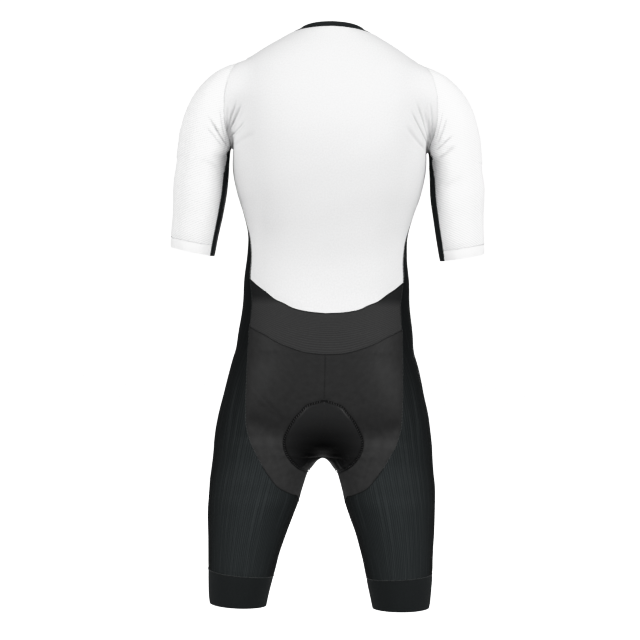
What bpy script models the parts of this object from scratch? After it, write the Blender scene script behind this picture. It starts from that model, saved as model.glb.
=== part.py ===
"""Short-sleeved triathlon suit, hollow as it is worn, cut into the panels that a maker would sew.

Metres, +Z up, the front faces -Y and the wearer's left is +X. The origin is the middle of the neck opening,
level with the points where the neckline crosses the shoulders.

One smooth body form carries every panel. It is a blend of five tubes whose sections are the tables below.
Seams are curves on that form, a panel is a grid between its seams, and each panel is a wall inside the form.
"""

import math

import bpy
import numpy as np

MM = 0.001

# Cloth
WALL = 1.4 * MM
SEAM_GAP = 0.3 * MM
BINDING_LIFT = 0.4 * MM
FOLD_TOP_Z = -140 * MM
FOLD_LOW_Z = -220 * MM
FOLD_HEIGHT = 35 * MM
FOLD_INNER = 161 * MM
FOLD_DEPTH = 52 * MM
FOLD_LEAN = 1.6

# Sections of the form, in millimetres: height, inner and outer x, back and front y, squareness of the outline.
SECTION_COLUMNS = ("z", "inner", "outer", "back", "front", "square")
TORSO = (
    (60, -48, 48, 36, -40, 2.0),
    (20, -50, 50, 44, -43, 2.0),
    (6, -53, 53, 49, -46, 2.0),
    (-2, -70, 70, 54, -49, 2.0),
    (-12, -87, 87, 61, -53, 2.0),
    (-22, -104, 104, 68, -56, 2.0),
    (-32, -119, 119, 74, -60, 2.0),
    (-42, -133, 133, 80, -64, 2.0),
    (-56, -148, 148, 87, -70, 2.1),
    (-80, -160, 160, 97, -81, 2.2),
    (-110, -164, 164, 107, -94, 2.3),
    (-150, -163, 163, 114, -107, 2.4),
    (-200, -161, 161, 115, -114, 2.4),
    (-228, -160.5, 160.5, 112, -114, 2.4),
    (-268, -153.5, 153.5, 105, -110, 2.4),
    (-308, -140.5, 140.5, 96, -105, 2.4),
    (-340, -133, 133, 89, -100, 2.4),
    (-370, -133, 133, 84, -97, 2.4),
    (-410, -137.5, 137.5, 83, -95, 2.4),
    (-450, -139, 139, 87, -96, 2.4),
    (-500, -145, 145, 100, -99, 2.4),
    (-527, -148, 148, 107.5, -100, 2.4),
    (-550, -153.5, 153.5, 114, -100, 2.4),
    (-600, -159.5, 159.5, 123, -98, 2.4),
    (-640, -158, 158, 122, -92, 2.3),
    (-665, -148, 148, 113, -84, 2.2),
    (-685, -125, 125, 95, -71, 2.1),
    (-693, -98, 98, 74, -56, 2.0),
    (-699.5, -66, 66, 44, -34, 2.0),
    (-703, -40, 40, 14, -10, 2.0),
)
LEG = (
    (-530, 12, 100, 70, -60, 2.1),
    (-560, 8, 128, 92, -80, 2.2),
    (-600, 4, 154.5, 101, -86, 2.2),
    (-640, 3, 173.5, 104, -89, 2.2),
    (-680, 3, 181, 103, -92, 2.2),
    (-700, 6, 182.5, 102, -92, 2.2),
    (-712, 12, 183.5, 100, -92, 2.2),
    (-722, 18, 184.5, 99, -92, 2.2),
    (-732, 24.5, 185.5, 98, -92, 2.2),
    (-745, 29, 187, 97, -91, 2.2),
    (-762, 33.5, 188, 95, -91, 2.2),
    (-777, 37, 188.5, 94, -90, 2.2),
    (-800, 45, 189, 90, -88, 2.1),
    (-830, 56, 188.5, 84, -84, 2.1),
    (-850, 62.5, 188, 80, -82, 2.1),
    (-870, 68.5, 187.5, 76, -80, 2.1),
    (-900, 75.5, 187, 70, -76, 2.1),
    (-955, 87.5, 183.5, 61, -70, 2.0),
    (-1000, 94, 178, 56, -66, 2.0),
)
ARM = (
    (-49, 122, 138, 10, -10, 2.0),
    (-56, 112, 164, 27, -25, 2.0),
    (-65, 108, 184.5, 39, -36, 2.0),
    (-80, 112, 205, 49, -45, 2.0),
    (-100, 124, 223, 55, -50, 2.0),
    (-125, 140, 237, 58, -52, 2.0),
    (-155, 153, 247, 58, -52, 2.1),
    (-195, 164, 252, 55, -51, 2.1),
    (-228, 167, 255.5, 52, -50, 2.1),
    (-250, 168, 259, 49, -50, 2.1),
    (-268, 169, 259.8, 47, -50, 2.1),
    (-308, 175, 260, 41, -50, 2.1),
    (-348, 183, 262, 35, -50, 2.1),
    (-376, 188, 263, 31, -50, 2.1),
    (-420, 193, 265, 25, -50, 2.1),
)

# How widely two tubes flow into each other, in millimetres, by height.
BLEND_COLUMNS = ("z", "width")
ARM_BLEND = ((-50, 10), (-70, 24), (-100, 42), (-140, 34), (-175, 14), (-195, 6), (-230, 5))
LEG_BLEND = ((-540, 38), (-600, 32), (-640, 28), (-680, 24), (-707, 16), (-760, 12))
CROTCH_BLEND = 12 * MM

# Heights and edges of the seams, in millimetres.
CHEST_Z = -198 * MM
NECKLINE_COLUMNS = ("angle", "seam", "edge")
NECKLINE = (
    (-90, -54, -44),
    (-60, -42, -33),
    (-30, -19, -11),
    (0, -1, 5),
    (30, 3, 10),
    (60, 5, 13),
    (90, 6, 14),
)
SHOULDER_FORWARD = 8 * MM
ARMHOLE_CENTRE_Z = -124 * MM
ARMHOLE_COLUMNS = ("z", "x")
ARMHOLE = (
    (-40, 148),
    (-55, 157),
    (-75, 167),
    (-100, 173),
    (-137, 175),
    (-157, 173.5),
    (-170, 170.5),
    (-182, 166.5),
    (-192, 164),
    (-200, 162.8),
)
SIDE_COLUMNS = ("z", "back", "front")
SIDE_SEAM = (
    (-240, -3, -42),
    (-280, 2, -46),
    (-320, 13, -49),
    (-350, 27, -50),
    (-380, 34, -51),
    (-414, 39, -52),
    (-450, 48, -54),
    (-492, 58, -57),
)
SIDE_TOP_BACK = -95
SIDE_TOP_FRONT = -122
WAIST_BACK_COLUMNS = ("x", "top", "bottom")
WAIST_BACK = (
    (0, -467, -534),
    (35, -464, -531),
    (56, -459, -525),
    (70, -452, -520),
    (84, -446, -514),
    (100, -434, -505),
    (113, -425, -499),
    (126, -414, -492),
)
WAIST_FRONT_COLUMNS = ("x", "seam")
WAIST_FRONT = ((0, -456), (50, -452), (90, -442), (122, -430))

# The lower body is measured round a level line through the pelvis: girth is the distance down the seat,
# under the crotch and up the front, and x is how far the panel's edge lies from the centre seam.
PELVIS_Z = -640 * MM
GIRTH_RADIUS = 100 * MM
UNDER = math.pi / 2 * GIRTH_RADIUS
EDGE_COLUMNS = ("girth", "x")
SEAT_EDGE = (
    (-148, 126),
    (-74, 127),
    (-20, 127),
    (20, 124),
    (39, 117),
    (51, 109),
    (66, 98),
    (80, 84),
    (90, 73),
    (100, 60),
    (118, 44.5),
    (157, 37.5),
)
SHORTS_EDGE = ((-210, 122), (-120, 121), (-40, 119), (10, 113), (40, 103), (66, 87), (90, 66), (118, 45.5), (157, 37.5))
PAD_EDGE = (
    (-31, 3),
    (-26, 20),
    (-11, 38),
    (7, 52.5),
    (33, 63.5),
    (49, 60.5),
    (64, 52),
    (79, 41.5),
    (96, 32),
    (120, 26),
    (157, 22),
    (190, 25),
    (220, 32),
    (250, 36),
    (272, 32),
    (288, 20),
    (294, 3),
)
PAD_CLEARANCE = 2.0 * MM
PAD_THICKNESS = 7 * MM
PAD_RIM = 1.5 * MM
CROTCH_RADIUS = 11 * MM
CROTCH_LIFT = 4 * MM
PAD_HALF_WIDTH = 60 * MM

# Legs and sleeves
LEG_AXIS_COLUMNS = ("z", "x")
LEG_AXIS = ((-955, 134), (-900, 131), (-800, 117), (-740, 104), (-600, 75), (-430, 35), (-300, 8), (-200, 0))
LEG_SEAM_Z = -901 * MM
LEG_HEM_Z = -955 * MM
LEG_SEAM_TILT = 5 * MM
LEG_HEM_TILT = 1.5 * MM
INSEAM_DIP = 20 * MM
FAN_PIVOT = (164 * MM, -212 * MM)
FAN_COLUMNS = ("lean", "reach")
FAN = ((90, 88), (60, 78), (30, 60), (4, 46))
SLEEVE_END_COLUMNS = ("lean", "x", "y", "z")
CUFF_SEAM = (9.5, 222.4, -8, -351)
SLEEVE_HEM = (10.5, 224.5, -10, -369)
HEM_BACK_DROP = 0.12
UNDERARM_BACK_ANGLE = -52
UNDERARM_FRONT_ANGLE = -128

# Zip
ZIP_HALF_GAP = 3.5 * MM
TAPE_HALF_WIDTH = 11 * MM
TAPE_THICKNESS = 0.9 * MM
TAPE_DEPTH = WALL + 0.6 * MM
CHAIN_HALF_WIDTH = 2.7 * MM
CHAIN_DEPTH = 0.3 * MM
CHAIN_TOP_Z = -66 * MM
SLIDER_Z = -63 * MM
SLIDER_LENGTH = 11 * MM
SLIDER_WIDTH = 8 * MM
PLATE_BOTTOM = 0.4 * MM
PLATE_TOP = 1.6 * MM
BRIDGE_WIDTH = 2 * MM
HINGE_HEIGHT = 2.55 * MM
PULL_THICKNESS = 1.1 * MM
PULL_LENGTH = 27 * MM

# Grid cells along each seam
NECK_CELLS = 8
SHOULDER_CELLS = 4
UPPER_ARMHOLE_CELLS = 9
SIDE_CELLS = 9
WAIST_CELLS = 3
SEAT_CELLS = 14
LEG_CELLS = 8
LEG_ROUND_CELLS = 24
BAND_CELLS = 2
PAD_ROWS = 18
PAD_COLUMNS = 8
ZIP_CELLS = 16
CELL = 23 * MM
SLEEVE_FAN_CELLS = 7
SLEEVE_CELLS = 7
STRIP_CELLS = 3
UNDERARM_EXTRA_CELLS = 2
PANEL_CELLS = NECK_CELLS + SHOULDER_CELLS
EVENING_ROUNDS = 120


# ---------------------------------------------------------------- tables and curves

PLAIN_COLUMNS = ("square", "angle", "lean")


def curves(table, names):
    """A table as (places, values, slopes) of smooth curves over its first column, lengths in metres."""
    scale = np.array([1.0 if name in PLAIN_COLUMNS else MM for name in names[: len(table[0])]])
    rows = np.array(table, float) * scale
    rows = rows[np.argsort(rows[:, 0])]
    return rows[:, 0], rows[:, 1:], np.gradient(rows[:, 1:], rows[:, 0], axis=0)


def read(curve, at):
    """The curves' values at the given places, held level past both ends. A single column comes back bare."""
    places, values, slopes = curve
    at = np.clip(at, places[0], places[-1])
    i = np.clip(np.searchsorted(places, at) - 1, 0, len(places) - 2)
    width = (places[i + 1] - places[i])[..., None]
    t = (at - places[i])[..., None] / width
    rise = values[i + 1] - values[i]
    bend_in = slopes[i] * width - rise
    bend_out = rise - slopes[i + 1] * width
    found = values[i] + t * rise + t * (1 - t) * ((1 - t) * bend_in + t * bend_out)
    return found[..., 0] if found.shape[-1] == 1 else found


def spaced(points, cells):
    """The line through points again, as cells + 1 points at equal distances."""
    steps = np.linalg.norm(np.diff(points, axis=0), axis=1)
    along = np.concatenate([[0], np.cumsum(steps)])
    at = np.linspace(0, along[-1], cells + 1)
    return np.stack([np.interp(at, along, points[:, k]) for k in range(3)], axis=1)


def unit(vectors):
    return vectors / np.maximum(np.linalg.norm(vectors, axis=-1, keepdims=True), 1e-12)


def vector(*parts):
    return np.stack(np.broadcast_arrays(*parts), axis=-1).astype(float)


# ---------------------------------------------------------------- the body form

TORSO_CURVES = curves(TORSO, SECTION_COLUMNS)
LEG_CURVES = curves(LEG, SECTION_COLUMNS)
ARM_CURVES = curves(ARM, SECTION_COLUMNS)
ARM_BLEND_CURVE = curves(ARM_BLEND, BLEND_COLUMNS)
LEG_BLEND_CURVE = curves(LEG_BLEND, BLEND_COLUMNS)


def tube(points, sections):
    """About how far points lie outside a tube, negative inside."""
    x, y, z = points[..., 0], points[..., 1], points[..., 2]
    low, high = sections[0][0], sections[0][-1]
    step = 1.5 * MM
    level = np.clip(z, low, high)
    columns = read(sections, np.stack([level, level + step, level - step]))
    inner, outer, back, front, square = np.moveaxis(columns, -1, 0)
    dx, dy = x - (outer + inner) / 2, y - (back + front) / 2
    away = np.maximum(np.hypot(dx, dy), 1e-7)
    wide, deep = (outer - inner) / 2, (back - front) / 2
    spread = (np.abs(dx / away / wide) ** square + np.abs(dy / away / deep) ** square) ** (1 / square)
    over = away - 1 / spread
    slope = (over[1] - over[2]) / (2 * step)
    return np.maximum(over[0] / np.sqrt(1 + slope**2), np.maximum(low - z, z - high))


def blended(a, b, width):
    """The union of two forms, with a fillet of about that width where they meet."""
    near = np.clip(1 - np.abs(a - b) / width, 0, None)
    return np.minimum(a, b) - near**2 * width / 4


def form(points):
    """The suit's outside: zero on it, negative inside."""
    points = np.asarray(points, float)
    z = points[..., 2]
    mirrored = points * (-1, 1, 1)
    legs = blended(tube(points, LEG_CURVES), tube(mirrored, LEG_CURVES), CROTCH_BLEND)
    body = blended(tube(points, TORSO_CURVES), legs, read(LEG_BLEND_CURVE, z))
    arm_width = read(ARM_BLEND_CURVE, z)
    for side in (points, mirrored):
        body = blended(body, tube(side, ARM_CURVES), arm_width)
    return body


def outward(points):
    """Unit normals of the form at points on it."""
    step = 0.5 * MM
    slopes = [form(points + step * axis) - form(points - step * axis) for axis in np.eye(3)]
    return unit(np.stack(slopes, axis=-1))


def crossing(path, shape, reach):
    """Where path(t), which starts inside the form and is about reach long at t = 1, first leaves it."""
    t = np.zeros(shape)
    for _ in range(34):
        t = np.clip(t - 0.93 * form(path(t)) / reach, 0, 1)
    return path(t)


def cast(start, direction, reach=0.3):
    """Where rays from inside the form first leave it."""
    start, direction = np.broadcast_arrays(start, direction)
    return crossing(lambda t: start + (t * reach)[..., None] * direction, start.shape[:-1], reach)


# ---------------------------------------------------------------- charts: two numbers to a point on the form

LEG_AXIS_CURVE = curves(LEG_AXIS, LEG_AXIS_COLUMNS)


def chest_chart(points):
    """(angle round the body, rise) of points on the torso. Rise turns into elevation above the chest."""
    x, y, z = points[..., 0], points[..., 1], points[..., 2] - CHEST_Z
    elevation = np.arctan2(z, np.hypot(x, y)) * -CHEST_Z
    return np.stack([np.arctan2(y, x), np.where(z > 0, elevation, z)], axis=-1)


def chest_point(chart):
    """The torso's point at (angle, rise), by a ray from the body's axis."""
    angle, rise = chart[..., 0], chart[..., 1]
    elevation = np.maximum(rise, 0) / -CHEST_Z
    start = vector(0 * rise, 0, CHEST_Z + np.minimum(rise, 0))
    level = np.cos(elevation)
    return cast(start, vector(level * np.cos(angle), level * np.sin(angle), np.sin(elevation)))


def back_chart(points):
    """The chest chart, with angles that run on past the right side instead of jumping."""
    chart = chest_chart(points)
    chart[..., 0] = np.where(chart[..., 0] < -math.pi / 2, chart[..., 0] + 2 * math.pi, chart[..., 0])
    return chart


def pelvis_chart(points):
    """(x, girth) of points on the seat, crotch and front of the shorts."""
    x, y, z = points[..., 0], points[..., 1], points[..., 2] - PELVIS_Z
    turned = np.arctan2(-z, y) * GIRTH_RADIUS
    girth = np.where(z > 0, np.where(y > 0, -z, 2 * UNDER + z), turned)
    return np.stack([x, girth], axis=-1)


def pelvis_point(chart):
    """The point at (x, girth), by a ray from the level line through the pelvis."""
    x, girth = chart[..., 0], chart[..., 1]
    above = np.maximum(-girth, girth - 2 * UNDER)
    turn = np.clip(girth / GIRTH_RADIUS, 0, math.pi)
    start = vector(x, 0, PELVIS_Z + np.maximum(above, 0))
    return cast(start, vector(0, np.cos(turn), -np.sin(turn)))


def leg_chart(points):
    """(angle round the leg, height), where angle 0 is the outside of the leg."""
    x, y, z = points[..., 0], points[..., 1], points[..., 2]
    return np.stack([np.arctan2(y, x - read(LEG_AXIS_CURVE, z)), z], axis=-1)


def leg_point(chart):
    angle, z = chart[..., 0], chart[..., 1]
    start = vector(read(LEG_AXIS_CURVE, z), 0, z)
    return cast(start, vector(np.cos(angle), np.sin(angle), 0))


def panel_grid(bottom, top, left, right, chart, point):
    """A grid of points on the form between four lines of points whose corners agree."""
    low, high, first, last = (chart(edge) for edge in (bottom, top, left, right))
    u = np.linspace(0, 1, len(bottom))[None, :, None]
    v = np.linspace(0, 1, len(left))[:, None, None]
    rows = (1 - v) * low[None] + v * high[None]
    columns = (1 - u) * first[:, None] + u * last[:, None]
    corners = (1 - v) * ((1 - u) * low[0] + u * low[-1]) + v * ((1 - u) * high[0] + u * high[-1])
    grid = point(evened(rows + columns - corners))
    grid[0], grid[-1], grid[:, 0], grid[:, -1] = bottom, top, left, right
    return grid


def evened(chart):
    """The chart grid with its inside points spread evenly, and never folded, between its fixed edges."""
    scale = np.ptp(chart.reshape(-1, 2), axis=0)
    net = chart / scale
    for _ in range(EVENING_ROUNDS):
        right, left = net[1:-1, 2:], net[1:-1, :-2]
        above, below = net[2:, 1:-1], net[:-2, 1:-1]
        across, along = (right - left) / 2, (above - below) / 2
        a = np.sum(along * along, axis=-1, keepdims=True)
        b = np.sum(across * along, axis=-1, keepdims=True)
        c = np.sum(across * across, axis=-1, keepdims=True)
        twist = (net[2:, 2:] - net[2:, :-2] - net[:-2, 2:] + net[:-2, :-2]) / 4
        net[1:-1, 1:-1] = (a * (right + left) + c * (above + below) - 2 * b * twist) / (2 * (a + c))
    return net * scale


# ---------------------------------------------------------------- seams, as lines of points on the left half

NECKLINE_CURVES = curves(NECKLINE, NECKLINE_COLUMNS)
ARMHOLE_CURVE = curves(ARMHOLE, ARMHOLE_COLUMNS)
WAIST_BACK_CURVES = curves(WAIST_BACK, WAIST_BACK_COLUMNS)
WAIST_FRONT_CURVE = curves(WAIST_FRONT, WAIST_FRONT_COLUMNS)
SEAT_EDGE_CURVE = curves(SEAT_EDGE, EDGE_COLUMNS)
SHORTS_EDGE_CURVE = curves(SHORTS_EDGE, EDGE_COLUMNS)
PAD_EDGE_CURVE = curves(PAD_EDGE, EDGE_COLUMNS)
WAIST_TOP_Z = WAIST_BACK[-1][1] * MM
WAIST_LOW_Z = WAIST_BACK[-1][2] * MM
FRONT_WAIST_Z = WAIST_FRONT[-1][1] * MM


def neckline(angles, which):
    """Points of the neckline's seam or its upper edge, at angles from -90 in front to 90 behind."""
    z = read(NECKLINE_CURVES, np.asarray(angles, float))[..., NECKLINE_COLUMNS.index(which) - 1]
    turn = np.radians(angles)
    return cast(vector(0, 0, z), vector(np.cos(turn), np.sin(turn), 0))


def shoulder_angle():
    """The angle at which the shoulder seam meets the neckline, a little in front of the shoulder's ridge."""
    return -math.degrees(math.atan2(SHOULDER_FORWARD, 68 * MM))


def neck_seams(which):
    """(front, back) halves of the neckline, each from the shoulder seam to the middle."""
    turn = shoulder_angle()
    front = neckline(np.linspace(turn, -90, 60), which)
    back = neckline(np.linspace(turn, 90, 60), which)
    front = front[front[:, 0] > ZIP_HALF_GAP + 0.5 * MM]
    edge = front[-1] * (0, 1, 1) + (ZIP_HALF_GAP, 0, 0)
    return spaced(np.vstack([front, edge]), NECK_CELLS), spaced(back, NECK_CELLS)


def armhole(angles):
    """Points of the armhole seam at angles round it: 90 on the shoulder, 0 behind, -90 in the armpit."""
    turn = np.radians(angles)
    reach = 0.13

    def path(t):
        z = ARMHOLE_CENTRE_Z + reach * t * np.sin(turn)
        return vector(read(ARMHOLE_CURVE, z), reach * t * np.cos(turn), z)

    return crossing(path, turn.shape, reach)


def armhole_angles():
    """Angles of the armhole's points: down behind to the side seam, across the strip, and up in front."""
    top = math.degrees(math.atan2(74 * MM, -SHOULDER_FORWARD))
    back = np.linspace(top, SIDE_TOP_BACK, UPPER_ARMHOLE_CELLS + 1)
    strip = np.linspace(SIDE_TOP_BACK, SIDE_TOP_FRONT, STRIP_CELLS + 1)
    front = np.linspace(SIDE_TOP_FRONT, top - 360, UPPER_ARMHOLE_CELLS + 1)
    return back, strip, front


def shoulder_seam():
    """From the neckline out to the armhole, along the top of the shoulder."""
    start = neckline(np.array([shoulder_angle()]), "seam")[0]
    end = armhole(armhole_angles()[0][:1])[0]
    line = start + np.linspace(0, 1, 40)[:, None] * (end - start)
    points = cast(line * (1, 1, 0) + (0, 0, CHEST_Z), vector(0, 0, 1))
    points[0], points[-1] = start, end
    return spaced(points, SHOULDER_CELLS)


def side_seam(which, low, cells):
    """The side seam from the armhole down to the given height, behind or in front of the side strip."""
    top = SIDE_TOP_BACK if which == "back" else SIDE_TOP_FRONT
    start = armhole(np.array([float(top)]))[0]
    column = SIDE_COLUMNS.index(which)
    table = [(row[0], row[column]) for row in SIDE_SEAM] + [(start[2] / MM, start[1] / MM)]
    z = np.linspace(start[2] - 6 * MM, low, 80)
    y = read(curves(table, ("z", "y")), z)
    points = cast(vector(0, y, z), vector(1, 0, 0))
    return spaced(np.vstack([start, points]), cells)


def pelvis_edge(curve, cells, start, front):
    """The outer edge of a seat or shorts panel, from its start at the waist to the inseam."""
    girth = np.linspace(curve[0][0], UNDER, 160)
    points = pelvis_point(np.stack([read(curve, girth), 2 * UNDER - girth if front else girth], axis=-1))
    points[0] = start
    return spaced(points, cells)


def waist_back(which, end):
    """Half of a back waist seam, from the centre out to its end on the side seam."""
    x = np.linspace(0, end[0], 60)
    z = read(WAIST_BACK_CURVES, x)[:, WAIST_BACK_COLUMNS.index(which) - 1]
    z = z + (end[2] - z[-1]) * x / end[0]
    points = cast(vector(x, 0, z), vector(0, 1, 0))
    points[-1] = end
    return spaced(points, PANEL_CELLS)


def waist_front(start_x, end):
    """Half of the front waist seam, from near the centre out to its end on the side seam."""
    x = np.linspace(start_x, end[0], 60)
    z = read(WAIST_FRONT_CURVE, x)
    z = z + (end[2] - z[-1]) * x / end[0]
    points = cast(vector(x, 0, z), vector(0, -1, 0))
    points[-1] = end
    return spaced(points, PANEL_CELLS)


# ---------------------------------------------------------------- walls and objects


def new_object(name, vertices, faces, finish):
    colour, roughness, metallic = finish
    mesh = bpy.data.meshes.new(name)
    mesh.from_pydata([tuple(map(float, v)) for v in vertices], [], faces_out(vertices, faces))
    mesh.validate()
    mesh.shade_smooth()
    mesh.set_sharp_from_angle(angle=math.radians(40))
    material = bpy.data.materials.new(name)
    material.use_nodes = True
    shader = material.node_tree.nodes["Principled BSDF"]
    shader.inputs["Base Color"].default_value = (*colour, 1)
    shader.inputs["Roughness"].default_value = roughness
    shader.inputs["Metallic"].default_value = metallic
    mesh.materials.append(material)
    made = bpy.data.objects.new(name, mesh)
    bpy.context.scene.collection.objects.link(made)
    return made


def faces_out(vertices, faces):
    """The faces, turned round if the solid they close is inside out."""
    volume = 0.0
    for face in faces:
        for k in range(1, len(face) - 1):
            a, b, c = (vertices[face[n]] for n in (0, k, k + 1))
            volume += np.dot(a, np.cross(b, c))
    return faces if volume > 0 else [face[::-1] for face in faces]


def split(corners, row, after, i, j):
    """A quad as two triangles, cut along its shorter diagonal."""
    a, b, c, d = corners
    if np.sum((row[i] - after[j + 1]) ** 2) <= np.sum((row[i + 1] - after[j]) ** 2) * 1.0001:
        return [[a, b, c], [a, c, d]]
    return [[a, b, d], [b, c, d]]


def mesh_rows(rows):
    """(faces, rim) of the net through rows of points, whose counts may differ from row to row."""
    starts = np.cumsum([0] + [len(row) for row in rows])
    faces = []
    for k in range(len(rows) - 1):
        a, b, i, j = starts[k], starts[k + 1], 0, 0
        n, m = len(rows[k]) - 1, len(rows[k + 1]) - 1
        while i < n or j < m:
            here, there = (i + 1) * m, (j + 1) * n
            if here == there:
                faces += split([a + i, a + i + 1, b + j + 1, b + j], rows[k], rows[k + 1], i, j)
                i, j = i + 1, j + 1
            elif here < there:
                faces.append([a + i, a + i + 1, b + j])
                i += 1
            else:
                faces.append([a + i, b + j + 1, b + j])
                j += 1
    last = starts[-2]
    rim = list(range(starts[1]))
    rim += [starts[k + 1] - 1 for k in range(1, len(rows) - 1)]
    rim += list(range(starts[-1] - 1, last - 1, -1))
    rim += [starts[k] for k in range(len(rows) - 2, 0, -1)]
    return faces, rim


def own_normals(points, faces, normal):
    """Normals of the net itself at its points, on the same side as the given ones."""
    corners = points[np.array(faces)]
    turned = np.cross(corners[:, 1] - corners[:, 0], corners[:, 2] - corners[:, 0])
    side = np.sign(np.sum(turned * normal[np.array(faces)[:, 0]]))
    own = np.zeros_like(points)
    for k in range(3):
        np.add.at(own, np.array(faces)[:, k], side * turned)
    return unit(own), side


def drawn_in(points, rim, own, side, gap):
    """The points with the rim drawn in by gap on every side, which opens the seams."""
    points = points.copy()
    loop = points[rim]
    edge = unit(np.roll(loop, -1, axis=0) - loop)
    ahead = side * unit(np.cross(own[rim], edge))
    behind = side * unit(np.cross(own[rim], np.roll(edge, 1, axis=0)))
    share = np.sum(ahead * behind, axis=1, keepdims=True)
    points[rim] = loop + gap * (ahead + behind) / np.maximum(1 + share, 0.35)
    return points


def shell(points, faces, rim, outer_depth, inner_depth, normal):
    """(vertices, faces) of the closed wall between two depths below a net of points."""
    count = len(points)
    vertices = np.vstack([points - outer_depth * normal, points - inner_depth * normal])
    closed = list(faces) + [[c + count for c in face[::-1]] for face in faces]
    for a, b in zip(rim, rim[1:] + rim[:1]):
        closed += [[b, a, a + count], [b, a + count, b + count]]
    return vertices, [[int(c) for c in face[1:] + face[:1]] for face in closed]


def armpit_fold(points):
    """How far points lie in the armpit's fold, from 0 to 1."""
    x, y, z = (points[:, k : k + 1] for k in range(3))
    height = np.clip((FOLD_TOP_Z - z) / FOLD_HEIGHT, 0, 1) * np.clip((z - FOLD_LOW_Z) / FOLD_HEIGHT * 4, 0, 1)
    return height * (np.abs(x) > FOLD_INNER) * (np.abs(y) < FOLD_DEPTH)


def cloth(name, rows, finish, lift=0.0, tuck=0):
    """A panel of cloth whose outside lies on the form, or lifted a little off it.

    In the fold of the armpit the wall leans to the panel's own side: tuck is 1 on the body and -1 on the sleeve.
    """
    faces, rim = mesh_rows(rows)
    points = np.vstack(list(rows))
    normal = outward(points)
    own, side = own_normals(points, faces, normal)
    fold = abs(tuck) * armpit_fold(points)
    points = drawn_in(points, rim, own, side, SEAM_GAP / 2 * (1 + 1.5 * fold[rim]))
    normal[:, 0] += FOLD_LEAN * tuck * fold[:, 0] * np.sign(points[:, 0])
    normal = unit(normal)
    vertices, closed = shell(points, faces, rim, -lift, WALL, normal)
    return new_object(name, vertices, closed, finish)


def both_sides(name, rows, finish, lift=0.0, tuck=0):
    """The left panel and its mirror image."""
    cloth(name + "_left", rows, finish, lift, tuck)
    cloth(name + "_right", [row * (-1, 1, 1) for row in rows], finish, lift, tuck)


# Colour, roughness and metal of each material
WHITE = ((0.86, 0.86, 0.87), 0.85, 0.0)
MESH_WHITE = ((0.9, 0.9, 0.91), 0.85, 0.0)
BLACK = ((0.012, 0.014, 0.015), 0.85, 0.0)
RIB_BLACK = ((0.016, 0.02, 0.021), 0.6, 0.0)
CHARCOAL = ((0.035, 0.035, 0.036), 0.6, 0.0)
BAND_GREY = ((0.03, 0.03, 0.031), 0.85, 0.0)
PAD_BLACK = ((0.01, 0.01, 0.012), 0.9, 0.0)
METAL = ((0.2, 0.2, 0.21), 0.35, 1.0)


# ---------------------------------------------------------------- panels


def mirrored_row(half):
    """A row from the right side to the left, from its left half, which starts on the centre line."""
    return np.vstack([half[:0:-1] * (-1, 1, 1), half])


def make_back(side_back):
    """The back, from the waist seam up to the neckline and out to the armholes."""
    hole = armhole(armhole_angles()[0])
    side = np.vstack([side_back[::-1], hole[::-1][1:]])
    bottom = mirrored_row(waist_back("top", side[0]))
    neck = neck_seams("seam")[1]
    top = mirrored_row(np.vstack([neck[::-1], shoulder_seam()[1:]]))
    grid = panel_grid(bottom, top, side * (-1, 1, 1), side, back_chart, chest_point)
    cloth("back_panel", grid, WHITE, tuck=1)


def make_fronts(side_front):
    """The two fronts, from the waist seam up to the neckline, either side of the zip."""
    hole = armhole(armhole_angles()[2])
    side = np.vstack([side_front[::-1], hole[1:]])
    bottom = waist_front(ZIP_HALF_GAP, side[0])
    neck = neck_seams("seam")[0]
    top = np.vstack([neck[::-1], shoulder_seam()[1:]])
    z = np.linspace(bottom[0, 2], top[0, 2], 80)
    edge = cast(vector(ZIP_HALF_GAP, 0, z), vector(0, -1, 0))
    edge[0], edge[-1] = bottom[0], top[0]
    grid = panel_grid(bottom, top, spaced(edge, len(side) - 1), side, chest_chart, chest_point)
    both_sides("front", grid, WHITE, tuck=1)


def make_waist(waist_side):
    side = waist_side[::-1]
    bottom = mirrored_row(waist_back("bottom", side[0]))
    top = mirrored_row(waist_back("top", side[-1]))
    grid = panel_grid(bottom, top, side * (-1, 1, 1), side, back_chart, chest_point)
    cloth("waist_panel", grid, BAND_GREY)


def make_pelvis_panel(name, top, edge, finish):
    """A seat or shorts panel: waist seam at the top, centre seam, outer edge, and the crotch seam below."""
    girth = np.linspace(pelvis_chart(top[:1])[0, 1], UNDER, 160)
    centre = pelvis_point(np.stack([0 * girth, girth], axis=-1))
    centre[0] = top[0]
    centre = spaced(centre, len(edge) - 1)
    x = np.linspace(0, edge[-1, 0], 60)
    under = pelvis_point(np.stack([x, np.full_like(x, UNDER)], axis=-1))
    under[0], under[-1] = centre[-1], edge[-1]
    under = spaced(under, PANEL_CELLS)
    grid = panel_grid(top, under, centre, edge, pelvis_chart, pelvis_point)
    both_sides(name, grid, finish)


def leg_ring(z, tilt):
    """A seam round the leg, from the inseam round the outside and back to it."""
    angle = np.linspace(-math.pi, math.pi, LEG_ROUND_CELLS + 1)
    return np.stack([angle, z + tilt * np.cos(angle)], axis=-1)


def dip(share):
    """How far a row sags between its ends, from 0 to 1."""
    return 1 - (2 * share - 1) ** 4


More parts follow.
